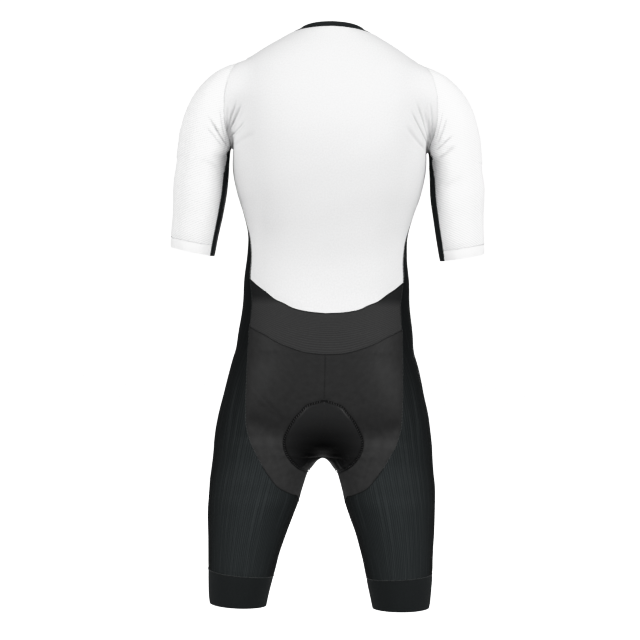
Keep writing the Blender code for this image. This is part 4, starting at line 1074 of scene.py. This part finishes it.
def face_normals(points, faces):
    """Normals of the triangles, each twice as long as its area."""
    corners = points[faces]
    return np.cross(corners[:, 1] - corners[:, 0], corners[:, 2] - corners[:, 0])


def own_normals(points, faces, normal):
    """Normals of the net itself at its points, on the same side as the given ones."""
    turned = face_normals(points, faces)
    side = np.sign(np.sum(turned * normal[faces[:, 0]]))
    own = np.zeros_like(points)
    for k in range(3):
        np.add.at(own, faces[:, k], side * turned)
    return unit(own), side


def drawn_in(points, rim, own, side, gap):
    """The points with the rim drawn in by gap on every side, which opens the seams."""
    points = points.copy()
    loop = points[rim]
    edge = unit(np.roll(loop, -1, axis=0) - loop)
    ahead = side * unit(np.cross(own[rim], edge))
    behind = side * unit(np.cross(own[rim], np.roll(edge, 1, axis=0)))
    share = np.sum(ahead * behind, axis=1, keepdims=True)
    points[rim] = loop + gap * (ahead + behind) / np.maximum(1 + share, SHARPEST_CORNER)
    return points


def armpit_fold(points):
    """How far points lie in the armpit's fold, from 0 to 1."""
    x, y, z = points.T
    above, below = (FOLD_TOP_Z - z) / FOLD_HEIGHT, (z - FOLD_LOW_Z) / FOLD_LOW_HEIGHT
    return np.clip(above, 0, 1) * np.clip(below, 0, 1) * (np.abs(x) > FOLD_INNER) * (np.abs(y) < FOLD_DEPTH)


def lines_down(rows, count):
    """The points where so many lines down the panel, evenly shared out along each row, cross its rows."""
    return np.array([row[np.linspace(0, len(row) - 1, count).round().astype(int)] for row in rows])


def laid_out(rows):
    """(across, down) in metres at every point: along its row from the middle, and down from the first row."""
    places = []
    for row, level in zip(rows, totals(steps(lines_down(rows, 5)).mean(axis=1))):
        along = totals(steps(row))
        places.append(np.stack([along - along[-1] / 2, np.full(len(row), level)], axis=1))
    return np.vstack(places)


def round_leg(rows):
    """(round the leg, height) in metres at every point."""
    return leg_chart(np.vstack(rows)) * (LEG_RIB_RADIUS, 1)


def round_sleeve(rows):
    """(round the arm, height) in metres at every point."""
    points = np.vstack(rows)
    x, y, z = points.T
    turn = np.arctan2(y, x - np.interp(-z, SLEEVE_AXIS_DROP, SLEEVE_AXIS_X))
    return np.stack([turn * SLEEVE_RIB_RADIUS, z], axis=1)


def flat_size(rows, faces, points):
    """((width, length), area) of the cloth as cut, measured along its rows and down its longest line."""
    width = max(steps(row).sum() for row in rows)
    length = steps(lines_down(rows, 9)).sum(axis=0).max()
    area = np.linalg.norm(face_normals(points, faces), axis=1).sum() / 2
    area = min(area, FULLEST_CUT * width * length)
    return (round(float(width), 3), round(float(length), 3)), round(float(area), 4)


def put(name, data):
    """A new object in the scene."""
    made = bpy.data.objects.new(name, data)
    bpy.context.scene.collection.objects.link(made)
    return made


def piece(name, vertices, faces, material):
    """A mesh object of faces given outward."""
    mesh = bpy.data.meshes.new(name)
    mesh.from_pydata(vertices.tolist(), [], faces.tolist())
    mesh.shade_smooth()
    mesh.set_sharp_from_angle(angle=math.radians(SHARP_ANGLE))
    mesh.materials.append(material)
    made = put(name, mesh)
    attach(made, "suit")
    return made


def turned_out(vertices, faces):
    """The triangles, turned round if the solid they close is inside out."""
    a, b, c = (vertices[faces[:, k]] for k in range(3))
    volume = np.sum(a * np.cross(b, c))
    return faces if volume > 0 else faces[:, ::-1]


def shell(points, faces, rim, outer_depth, inner_depth, normal):
    """(vertices, faces) of the closed wall between two depths below a net of points."""
    count = len(points)
    vertices = np.vstack([points - outer_depth * normal, points - inner_depth * normal])
    a, b = rim, np.roll(rim, -1)
    edge = np.vstack([np.stack([b, a, a + count], axis=1), np.stack([b, a + count, b + count], axis=1)])
    closed = np.vstack([faces, faces[:, ::-1] + count, edge])
    return vertices, turned_out(vertices, closed)


def paint(made, name, values):
    """Stores one number per point of the net for the material to read, on both walls."""
    attribute = made.data.attributes.new(name, "FLOAT", "POINT")
    attribute.data.foreach_set("value", np.tile(values, 2).astype(np.float32))


def unwrap(made, places):
    """Gives the piece a UV map in metres, the same on both walls."""
    corners = np.zeros(len(made.data.loops), dtype=np.int32)
    made.data.loops.foreach_get("vertex_index", corners)
    layer = made.data.uv_layers.new(name="cut")
    layer.data.foreach_set("uv", np.tile(places, (2, 1))[corners].astype(np.float32).ravel())


def cloth(name, rows, slot, material, lift=0.0, tuck=0, places=laid_out, sides=MIDDLE):
    """A panel of cloth, whose outside lies on the form, for each side: mirrored for the right."""
    rows = list(rows)
    faces, rim = mesh_rows(rows)
    flat_points = np.vstack(rows)
    form_normal = outward(flat_points)
    own, side = own_normals(flat_points, faces, form_normal)
    fold = abs(tuck) * armpit_fold(flat_points)
    inner = np.exp(-((nearest(flat_points, flat_points[rim]) / SEAM_ROLL) ** 2))
    cut_places = places(rows)
    flat, area = flat_size(rows, faces, flat_points)
    lean = FOLD_LEAN * tuck * fold * np.sign(flat_points[:, 0])
    gap = SEAM_GAP / 2 * (1 + FOLD_GAP * fold[rim, None])
    gap[np.abs(flat_points[rim, 0]) < 0.5 * MM] *= CENTRE_SEAM_SHARE
    edged = drawn_in(flat_points, rim, own, side, gap)
    for suffix in sides:
        flip = np.array([SIDES[suffix], 1, 1])
        points, normal = edged * flip, form_normal * flip
        stand, shade = relief(name, points)
        moved = stand * (1 - SEAM_STILLNESS * inner) * (1 - FOLD_STILLNESS * fold)
        moved -= SEAM_DIP * inner * (lift == 0)
        # The crease and hollow shade is painted into the white cloth's colour.
        extra = {"trough": shade} if slot in ("white_knit", "white_mesh") else {}
        if name in ("seat", "shorts_front"):
            reach = pad_reach(points)
            moved += PAD_PRINT * np.clip(reach / PAD_SLOPE, 0, 1) ** PAD_CROWN
            moved -= PAD_GROOVE * np.exp(-((reach / PAD_GROOVE_HALF) ** 2))
            extra["pad"] = reach
        points = points + moved[:, None] * normal
        normal[:, 0] += lean * flip[0]
        vertices, closed = shell(points, faces, rim, -lift, WALL, unit(normal))
        node = name + suffix
        panel = piece(node + "_cloth", vertices, closed, material)
        unwrap(panel, cut_places)
        for key, values in extra.items():
            paint(panel, key, values)
        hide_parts(node)


# ---------------- panels


def mirrored_row(half):
    """A row from the right side to the left, from its left half, which starts on the centre line."""
    return np.vstack([half[:0:-1] * (-1, 1, 1), half])


def make_back(side_back):
    """The back, from the waist seam up to the neckline and out to the armholes."""
    hole = armhole(armhole_angles()[0])
    side = np.vstack([side_back[::-1], hole[::-1][1:]])
    bottom = mirrored_row(waist_line("top", side[0]))
    neck = neck_seams("seam")[1]
    top = mirrored_row(np.vstack([neck[::-1], shoulder_seam()[1:]]))
    grid = panel_grid(bottom, top, side * (-1, 1, 1), side, back_chart, chest_point, ARMPIT_ROWS, BACK_DENSE)
    grid = spread_out(spread_out(grid)[:, ::-1])[:, ::-1]
    cloth("back_panel", grid, "white_knit", WHITE_KNIT, tuck=1)


def make_fronts(side_front):
    """The two fronts, from the waist seam up to the neckline, either side of the zip."""
    hole = armhole(armhole_angles()[2])
    side = np.vstack([side_front[::-1], hole[1:]])
    bottom = waist_line("front", side[0], ZIP_HALF_GAP)
    neck = neck_seams("seam")[0]
    top = np.vstack([neck[::-1], shoulder_seam()[1:]])
    z = np.linspace(bottom[0, 2], top[0, 2], MIDDLE_LINE)
    edge = cast(vector(ZIP_HALF_GAP, 0, z), vector(0, -1, 0))
    edge[0], edge[-1] = bottom[0], top[0]
    edge = spaced(edge, len(side) - 1)
    grid = spread_out(panel_grid(bottom, top, edge, side, chest_chart, chest_point, ARMPIT_ROWS, FRONT_DENSE))
    cloth("front", grid, "white_knit", WHITE_KNIT, tuck=1, sides=BOTH)


def make_waist(waist_side):
    """The curved panel between the waist's two back seams."""
    side = waist_side[::-1]
    bottom, top = (mirrored_row(waist_line(*end)) for end in (("bottom", side[0]), ("top", side[-1])))
    grid = panel_grid(bottom, top, side * (-1, 1, 1), side, back_chart, chest_point)
    cloth("waist_panel", grid, "waist_knit", WAIST_KNIT)


def centre_line(start, end, count):
    """(girth, points) down the centre seam between two distances round the pelvis."""
    girth = np.linspace(start, end, count)
    return girth, pelvis_point(np.stack([0 * girth, girth], axis=-1))


def make_pelvis_panel(name, top, edge, slot, material):
    """A seat or shorts panel: waist seam at the top, centre seam, outer edge, and the crotch seam below."""
    centre = centre_line(pelvis_chart(top[:1])[0, 1], UNDER, LONG_LINE)[1]
    centre[0] = top[0]
    centre = spaced(centre, len(edge) - 1)
    x = np.linspace(0, edge[-1, 0], SHORT_LINE)
    under = pelvis_point(np.stack([x, np.full_like(x, UNDER)], axis=-1))
    under[0], under[-1] = centre[-1], edge[-1]
    under = spaced(under, PANEL_CELLS)
    grid = panel_grid(top, under, centre, edge, pelvis_chart, pelvis_point)
    cloth(name, grid, slot, material, sides=BOTH)


def leg_ring(z, tilt):
    """A seam round the leg, from the inseam round the outside and back to it."""
    angle = np.linspace(-math.pi, math.pi, LEG_ROUND_CELLS // COARSE_STEP + 1)
    return np.stack([angle, z + tilt * np.cos(angle)], axis=-1)


def dip(share):
    """How far a row sags between its ends, from 0 to 1."""
    return 1 - (2 * share - 1) ** 4


def make_side_legs(front_edge, back_edge):
    """The black panel from the armpit down the side and round the leg, closed by the inseam."""
    front, back = leg_chart(front_edge), leg_chart(back_edge)
    front[-1, 0], back[-1, 0] = -math.pi, math.pi
    lines = []
    share_in = len(front) - SEAT_CELLS // 2
    for k in range(COARSE_STEP, len(front), COARSE_STEP):
        length = np.linalg.norm(back_edge[k] - front_edge[k])
        reach = LEG_HALF_GIRTH * abs(back[k, 0] - front[k, 0]) * 2 / math.pi
        cells = round(max(length, reach * LEG_SPARE) / CELL)
        cells = min(max(cells, STRIP_CELLS // COARSE_STEP), LEG_ROUND_CELLS // COARSE_STEP)
        share = np.linspace(0, 1, cells + 1)
        line = front[k] + share[:, None] * (back[k] - front[k])
        line[:, 1] -= INSEAM_DIP * max(0.0, (k - share_in) / (len(front) - 1 - share_in)) * dip(share)
        lines.append(line)
    ring = leg_ring(LEG_SEAM_Z, LEG_SEAM_TILT)
    start = leg_ring(back[-1, 1], 0)
    start[:, 1] -= INSEAM_DIP * dip(np.linspace(0, 1, len(start)))
    for share in np.linspace(0, 1, LEG_CELLS // COARSE_STEP + 1)[1:]:
        lines.append(start + share * (ring - start))
    rows = np.split(leg_point(np.vstack(lines)), np.cumsum([len(line) for line in lines])[:-1])
    for k, row in enumerate(rows[: (len(front) - 1) // COARSE_STEP]):
        row[0], row[-1] = front_edge[(k + 1) * COARSE_STEP], back_edge[(k + 1) * COARSE_STEP]
    rows.insert(0, armhole(armhole_angles()[1][::-COARSE_STEP]))
    cloth("side_leg", rows, "ribbed_black", RIBBED_BLACK, tuck=1, places=round_leg, sides=BOTH)

    hem = leg_ring(LEG_HEM_Z, LEG_HEM_TILT)
    share = np.linspace(0, 1, BAND_CELLS // COARSE_STEP + 1)[:, None, None]
    cloth("leg_band", leg_point(ring + share * (hem - ring)), "black_knit", BLACK_KNIT, sides=BOTH)


def sleeve_planes():
    """Planes across the sleeve, as (lean, x, y, z of the middle), fanning out and then going down."""
    lean = np.linspace(90, FAN[-1][0], SLEEVE_FAN_CELLS + 1)[1:]
    reach = read(curves(FAN, FAN_COLUMNS), lean)
    x = FAN_PIVOT[0] + reach * np.cos(np.radians(lean))
    z = FAN_PIVOT[1] + reach * np.sin(np.radians(lean))
    fan = np.stack([lean, x, 0 * x, z], axis=-1)
    cuff = plane(CUFF_SEAM)
    share = np.linspace(0, 1, SLEEVE_CELLS + 1)[1:, None]
    return np.vstack([fan, fan[-1] + share * (cuff - fan[-1])])


def plane(row):
    """A plane's row from the tables, in degrees and metres."""
    return np.array(row) * (1, MM, MM, MM)


def sleeve_section(row, angles):
    """Points round the sleeve in one plane: angle 90 is the outside, 0 the back and -90 the inside."""
    lean, x, y, z = row
    turn = np.radians(angles)
    up = np.array([math.cos(math.radians(lean)), 0, math.sin(math.radians(lean))])
    drop = HEM_BACK_DROP * max(0.0, 1 - lean / LEVEL_LEAN)
    back = np.array([0, 1, -drop]) / math.hypot(1, drop)
    direction = np.sin(turn)[:, None] * up + np.cos(turn)[:, None] * back
    return cast(np.array([x, y, z]), direction)


def sleeve_angles():
    """Angles of the armhole's points in sleeve order, and how many are the sleeve's and not the strip's."""
    back, strip, front = armhole_angles()
    extra = UNDERARM_EXTRA_CELLS
    over = np.concatenate([front[extra:-1] + 360, back[: len(back) - extra]])
    under = np.concatenate([back[len(back) - extra :], strip[1:], front[1 : extra + 1]])
    return np.concatenate([over, under]), len(over)


def spread_angles(angles, over, share):
    """The armhole's angles, eased towards even spacing down the sleeve."""
    first, last = UNDERARM_FRONT_ANGLE + 360, UNDERARM_BACK_ANGLE
    outer = np.linspace(first, last, over)
    inner = np.linspace(last, first - 360, len(angles) - over + 1)[1:]
    return angles + min(1.0, share * SPREAD_SPEED) * (np.concatenate([outer, inner]) - angles)


def make_sleeves():
    """Sleeve, the strip inside it, and the plain hem, all from one net of rows below the armhole."""
    angles, over = sleeve_angles()
    planes = sleeve_planes()
    net = [armhole(angles)]
    for k, row in enumerate(planes):
        net.append(sleeve_section(row, spread_angles(angles, over, (k + 1) / len(planes))))
    columns = np.unique(np.concatenate([kept(over, SLEEVE_DENSE), over - 1 + kept(len(angles) - over + 1)]))
    net = np.array(net)[:, columns]
    ends = net[0], net[-1]
    net = settled(refined(net))
    net[0], net[-1] = ends
    net = net[kept(len(net), SLEEVE_DENSE_ROWS)]
    over = int(np.searchsorted(columns, over - 1)) + 1
    hem_angles = spread_angles(angles, sleeve_angles()[1], 1.0)[columns]
    cuff = ruled(net[-1], sleeve_section(plane(SLEEVE_HEM), hem_angles), 4)
    extra = UNDERARM_EXTRA_CELLS // COARSE_STEP
    taper = np.clip(1 - totals(steps(net[:, over - 1])) / STRIP_TAPER, 0, 1)
    behind, before = (np.round(share * extra * taper).astype(int) for share in STRIP_GIVEN)
    last = net.shape[1] - 1
    sleeve = [np.vstack([row[last - f : last], row[: over + b]]) for row, b, f in zip(net, behind, before)]
    strip = [row[over - 1 + b : last + 1 - f] for row, b, f in zip(net, behind, before)]
    strip += [row[over - 1 :] for row in cuff[1:]]
    cloth("sleeve", sleeve, "white_mesh", WHITE_MESH, tuck=-1, places=round_sleeve, sides=BOTH)
    cloth("underarm", strip, "black_knit", BLACK_KNIT, tuck=-1, sides=BOTH)
    cloth("cuff", cuff[:, :over], "white_mesh", CUFF_WHITE, sides=BOTH)
    for name, end, offset in (("back", 0, -0.7 * MM), ("front", -1, 0.7 * MM)):
        edge = np.array([row[end] for row in strip[3:]])
        stitches("underarm_" + name + "_thread", edge, WHITE_THREAD, 1.5 * MM, offset=offset)


def make_neckband():
    """The binding round the neck, from its seam to its upper edge."""
    rows = []
    for which in ("seam", "edge"):
        front, back = neck_seams(which)
        left = np.vstack([front[::-1], back[1:]])
        rows.append(np.vstack([left, left[-2::-1] * (-1, 1, 1)]))
    cloth("neckband", ruled(*rows, 3), "black_knit", BLACK_KNIT, BINDING_LIFT)


def make_pad():
    """The seat pad inside the crotch, thick in the middle and thin at its rim."""
    girth = np.linspace(PAD_EDGE[0][0], PAD_EDGE[-1][0], PAD_ROWS + 1) * MM
    across = np.linspace(-1, 1, PAD_COLUMNS + 1)
    half = read(PAD_EDGE_CURVE, girth)
    points = pelvis_point(vector(half[:, None] * across, girth[:, None]).reshape(-1, 2))
    middle = 1 - np.abs(across)[None] ** 3
    ends = 1 - np.abs(np.linspace(-1, 1, len(girth)))[:, None] ** 6
    thickness = PAD_RIM + (PAD_THICKNESS - PAD_RIM) * (middle * ends).reshape(-1, 1)
    faces, rim = mesh_rows(points.reshape(len(girth), len(across), 3))
    near = np.exp(-((points[:, :1] / CROTCH_RADIUS) ** 2 + (points[:, 1:2] / PAD_HALF_WIDTH) ** 2))
    depth = WALL + PAD_CLEARANCE + CROTCH_LIFT * near
    vertices, closed = shell(points, faces, rim, depth, depth + thickness, outward(points))
    pad = piece("chamois_pad_foam", vertices, closed, PAD_FABRIC)
    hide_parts("chamois_pad")


# ---------------- sewing


# A bar: wide and square below, narrower above. Its corners are shares of its half axes.
BAR_BELOW = [(a, b, -0.6) for a, b in ((-1, -1), (1, -1), (1, 1), (-1, 1))]
BAR_CORNERS = BAR_BELOW + [(0.9 * a, 0.6 * b, 1) for a, b, _ in BAR_BELOW]
BAR_SIDES = ((2, 1, 0, 3), (4, 5, 6, 7), (0, 1, 5, 4), (1, 2, 6, 5), (2, 3, 7, 6), (3, 0, 4, 7))
BAR_FACES = [face for a, b, c, d in BAR_SIDES for face in ((a, b, c), (a, c, d))]
THREAD_HEIGHT = 0.35


def bars(middle, *half_axes):
    """(vertices, faces) of small bars round their middles, from their half axes."""
    corners = [middle + sum(share * axis for share, axis in zip(corner, half_axes)) for corner in BAR_CORNERS]
    faces = np.array(BAR_FACES)[None] + len(BAR_CORNERS) * np.arange(len(middle))[:, None, None]
    return np.stack(corners, axis=1).reshape(-1, 3), faces.reshape(-1, 3)


def level_line(line, pitch):
    """The line through points again, at equal steps of about pitch."""
    return spaced(line, max(2, round(steps(line).sum() / pitch)))


def stitches(
    name,
    line,
    material,
    width,
    pitch=2.4 * MM,
    thick=0.75 * MM,
    lean=20,
    lift=-0.1 * MM,
    offset=0.0,
    sides=BOTH,
):
    """A row of thread bars on a seam: width long, one per pitch, leaning from straight across."""
    points = level_line(line, pitch)
    middle = (points[1:] + points[:-1]) / 2
    along = unit(points[1:] - points[:-1])
    out = outward(middle)
    across = unit(np.cross(out, along))
    if offset:
        middle = settled(middle + offset * across, 2)
        out = outward(middle)
    turn = math.radians(lean)
    across = math.cos(turn) * across + math.sin(turn) * along
    ahead = np.cross(across, out)
    middle = middle + lift * out
    vertices, faces = bars(middle, across * width / 2, ahead * thick / 2, out * thick * THREAD_HEIGHT)
    for suffix in sides:
        flip = np.array([SIDES[suffix], 1, 1])
        piece(name + suffix, vertices * flip, faces if flip[0] > 0 else faces[:, ::-1], material)


def sew_seams(side_back, side_front, waist_side, seat_edge, shorts_edge):
    """All the visible sewing, seam by seam."""
    back, strip, front = (armhole(angles) for angles in armhole_angles())
    stitches("armhole_thread", np.vstack([back, strip[1:], front[1:]])[2:-2], WHITE_THREAD, 3.0 * MM)
    stitches("shoulder_thread", shoulder_seam()[1:-1], WHITE_THREAD, 3.2 * MM)
    stitches("side_back_thread", side_back[4:], WHITE_THREAD, 2.2 * MM, offset=-0.9 * MM)
    stitches("side_front_thread", side_front[4:], WHITE_THREAD, 2.2 * MM, offset=0.9 * MM)
    stitches("waist_side_thread", waist_side, GREY_THREAD, 1.5 * MM)
    straight = int(SEAT_STRAIGHT * len(seat_edge))
    stitches("seat_edge_thread", seat_edge[:straight], GREY_THREAD, 1.5 * MM)
    stitches("seat_curve_thread", seat_edge[straight:], BLACK_THREAD, 2.0 * MM)
    stitches("shorts_edge_thread", shorts_edge, BLACK_THREAD, 2.0 * MM)
    top, bottom = waist_line("top", side_back[-1]), waist_line("bottom", waist_side[-1])
    front_waist = waist_line("front", side_front[-1], ZIP_HALF_GAP)
    stitches("waist_top_thread", top, BLACK_THREAD, 2.0 * MM, offset=0.8 * MM)
    stitches("waist_bottom_thread", bottom, BLACK_THREAD, 2.0 * MM)
    stitches("front_waist_thread", front_waist, BLACK_THREAD, 2.0 * MM)
    girth, rise = centre_line(pelvis_chart(bottom[:1])[0, 1], UNDER, SEWN_LINE)
    inside = girth > PAD_EDGE[0][0] * MM
    stitches("centre_back_thread", rise[~inside], BLACK_THREAD, 1.6 * MM, sides=MIDDLE)
    stitches("centre_pad_thread", rise[inside], GREY_THREAD, 1.1 * MM, thick=0.5 * MM, sides=MIDDLE)
    top = pelvis_chart(waist_line("front", side_front[-1])[:1])[0, 1]
    rise = centre_line(UNDER, top, SEWN_LINE)[1]
    stitches("centre_front_thread", rise, BLACK_THREAD, 1.6 * MM, sides=MIDDLE)
    rim = pelvis_point(pad_outline(SEWN_PAD_LINE)[2:-2])
    stitches("pad_rim_thread", rim, RIM_THREAD, 3.0 * MM, pitch=4.2 * MM, lean=32, lift=0.5 * MM)
    ring = leg_point(leg_ring(LEG_SEAM_Z, LEG_SEAM_TILT))
    stitches("leg_band_thread", ring, GREY_THREAD, 1.4 * MM, pitch=2.0 * MM)
    z = np.linspace(seat_edge[-1, 2] - 1 * MM, LEG_SEAM_Z - LEG_SEAM_TILT, SHORT_LINE)
    stitches("inseam_thread", leg_point(vector(math.pi, z)), BLACK_THREAD, 2.0 * MM)
    seam = neck_seams("seam")
    stitches("neck_thread", np.vstack([seam[0][::-1], seam[1][1:]]), BLACK_THREAD, 1.4 * MM, offset=0.6 * MM)
    angles = np.linspace(UNDERARM_FRONT_ANGLE + 359, UNDERARM_BACK_ANGLE + 1, LONG_LINE)
    stitches("cuff_thread", sleeve_section(plane(CUFF_SEAM), angles), WHITE_THREAD, 2.2 * MM)
    z = np.linspace(front_waist[0, 2] + 3 * MM, seam[0][-1, 2] - 3 * MM, LONG_LINE)
    zip_line = cast(vector(ZIP_HALF_GAP + 2.5 * MM, 0, z), vector(0, -1, 0))
    along = {"pitch": 2.6 * MM, "thick": 0.5 * MM, "lean": 90, "lift": 0.1 * MM}
    stitches("zip_thread", zip_line, WHITE_THREAD, 1.8 * MM, **along)


def make_zip_coil():
    """The coil's turns over the tape's chain, in two interlocked rows."""
    z = np.arange(WAIST_FRONT[0][1] * MM + 3 * MM, CHAIN_TOP_Z - 1 * MM, COIL_PITCH)
    line = cast(vector(0, 0, z), vector(0, -1, 0))
    out = outward(line)
    along = unit(np.gradient(line, axis=0))
    across = unit(np.cross(along, out))
    across[across[:, 0] < 0] *= -1
    sunk = line - COIL_DEPTH * out
    middle = np.vstack([sunk - COIL_OFFSET * across, sunk + COIL_OFFSET * across + COIL_PITCH / 2 * along])
    half_axes = [half * np.tile(axis, (2, 1)) for half, axis in zip(COIL_HALF, (across, along, out))]
    piece("zip_coil", *bars(middle, *half_axes), COIL_PLASTIC)


# ---------------- stage

CAMERA_PLACE = (0.0098, 3.6, -0.4784)
CAMERA_ROLL = 1.3
CAMERA_LENS = 121.5
SENSOR_WIDTH = 36
CLIP_END = 20
FLOOR_Z = -1.02
FLOOR_REACH = 40.0
FLOOR_GLOW = 0.95
WHITE_BACKDROP = 1.06
TONE_CURVE = ((0.1, 0.1), (0.25, 0.32), (0.4, 0.57), (0.52, 0.74), (0.62, 0.845), (0.72, 0.94), (0.82, 0.975))
AMBIENT = 0.2
LIGHTS = (
    ("right_key", (-2.5, 2.1, 0.95), (0, 0, -0.3), (1.1, 1.5), 62.0),
    ("left_key", (2.5, 2.1, 0.95), (0, 0, -0.3), (1.1, 1.5), 52.5),
    ("middle", (0.2, 3.4, -0.8), (0, 0, -0.6), (1.4, 1.0), 5.0),
    ("front", (-0.3, -3.2, 0.4), (0, 0, -0.5), (1.6, 1.6), 50.0),
)


def make_camera():
    """The camera behind the suit, level and nearly square to it, rolled as the photograph is."""
    roll = math.radians(CAMERA_ROLL)
    data = bpy.data.cameras.new("camera")
    data.lens = CAMERA_LENS
    data.sensor_width = SENSOR_WIDTH
    data.clip_end = CLIP_END
    made = put("camera", data)
    right = mathutils.Vector((-math.cos(roll), 0, math.sin(roll)))
    up = mathutils.Vector((math.sin(roll), 0, math.cos(roll)))
    turn = mathutils.Matrix((right, up, right.cross(up))).transposed()
    made.matrix_world = mathutils.Matrix.Translation(CAMERA_PLACE) @ turn.to_4x4()
    bpy.context.scene.camera = made


def make_light(name, place, target, size, watts):
    data = bpy.data.lights.new(name, "AREA")
    data.shape = "RECTANGLE"
    data.size, data.size_y = size
    data.energy = watts
    made = put(name, data)
    made.location = place
    aim = mathutils.Vector(target) - mathutils.Vector(place)
    made.rotation_euler = aim.to_track_quat("-Z", "Y").to_euler()


def make_stage():
    """A pale floor, white to the camera as the photo's ground is, soft light all round, and the lights."""
    mesh = bpy.data.meshes.new("floor")
    corners = [(x * FLOOR_REACH, y * FLOOR_REACH, FLOOR_Z) for x, y in ((-1, -1), (1, -1), (1, 1), (-1, 1))]
    mesh.from_pydata(corners, [], [(0, 1, 2, 3)])
    g = Graph("pale_floor", (0.4, 0.4, 0.4), 0.9, gloss=0.1)
    seen = g.add("ShaderNodeLightPath")
    g.shader.inputs["Emission Color"].default_value = (1, 1, 1, 1)
    g.feed(g.shader.inputs["Emission Strength"], g.times(seen, FLOOR_GLOW))
    mesh.materials.append(g.material)
    put("floor", mesh)
    world = bpy.data.worlds.new("studio")
    world.use_nodes = True
    tree = world.node_tree
    path = tree.nodes.new("ShaderNodeLightPath")
    mix = tree.nodes.new("ShaderNodeMixShader")
    tree.links.new(path.outputs["Is Camera Ray"], mix.inputs[0])
    lit, seen = tree.nodes["Background"], tree.nodes.new("ShaderNodeBackground")
    for k, (background, strength) in enumerate(((lit, AMBIENT), (seen, WHITE_BACKDROP))):
        background.inputs["Color"].default_value = (1, 1, 1, 1)
        background.inputs["Strength"].default_value = strength
        tree.links.new(background.outputs[0], mix.inputs[k + 1])
    tree.links.new(mix.outputs[0], tree.nodes["World Output"].inputs[0])
    bpy.context.scene.world = world
    view = bpy.context.scene.view_settings
    view.view_transform = "Standard"
    view.use_curve_mapping = True
    for place in TONE_CURVE:
        view.curve_mapping.curves[3].points.new(*place)
    view.curve_mapping.update()
    for light in LIGHTS:
        make_light(*light)


# ---------------- the suit


def main():
    """The stage, then every seam once, and the panels and sewing that share them."""
    make_camera()
    make_stage()
    side_back = side_seam("back", WAIST_TOP_Z, SIDE_CELLS)
    side_front = side_seam("front", FRONT_WAIST_Z, SIDE_CELLS)
    low_side = side_seam("back", WAIST_LOW_Z, SIDE_SAMPLES)
    low_side = low_side[low_side[:, 2] < WAIST_TOP_Z - 0.5 * MM]
    waist_side = spaced(np.vstack([side_back[-1:], low_side]), WAIST_CELLS)
    make_back(side_back)
    make_fronts(side_front)
    make_waist(waist_side)

    seat_edge = pelvis_edge(SEAT_EDGE_CURVE, SEAT_CELLS, waist_side[-1], front=False)
    make_pelvis_panel("seat", waist_line("bottom", seat_edge[0]), seat_edge, "charcoal_knit", CHARCOAL_KNIT)
    shorts_edge = pelvis_edge(SHORTS_EDGE_CURVE, WAIST_CELLS + SEAT_CELLS, side_front[-1], front=True)
    front_waist = waist_line("front", shorts_edge[0])
    make_pelvis_panel("shorts_front", front_waist, shorts_edge, "ribbed_black", RIBBED_BLACK)
    front_edge = np.vstack([side_front, shorts_edge[1:]])
    make_side_legs(front_edge, np.vstack([side_back, waist_side[1:], seat_edge[1:]]))

    make_sleeves()
    make_neckband()
    make_pad()
    make_zip_coil()
    sew_seams(side_back, side_front, waist_side, seat_edge, shorts_edge)


for name, finish in (("zip_tape", tape_cloth()), ("zip_slider", dark_metal()), ("zip_pull", dark_metal())):
    for slot in bpy.data.objects[name].material_slots:
        slot.material = finish
main()
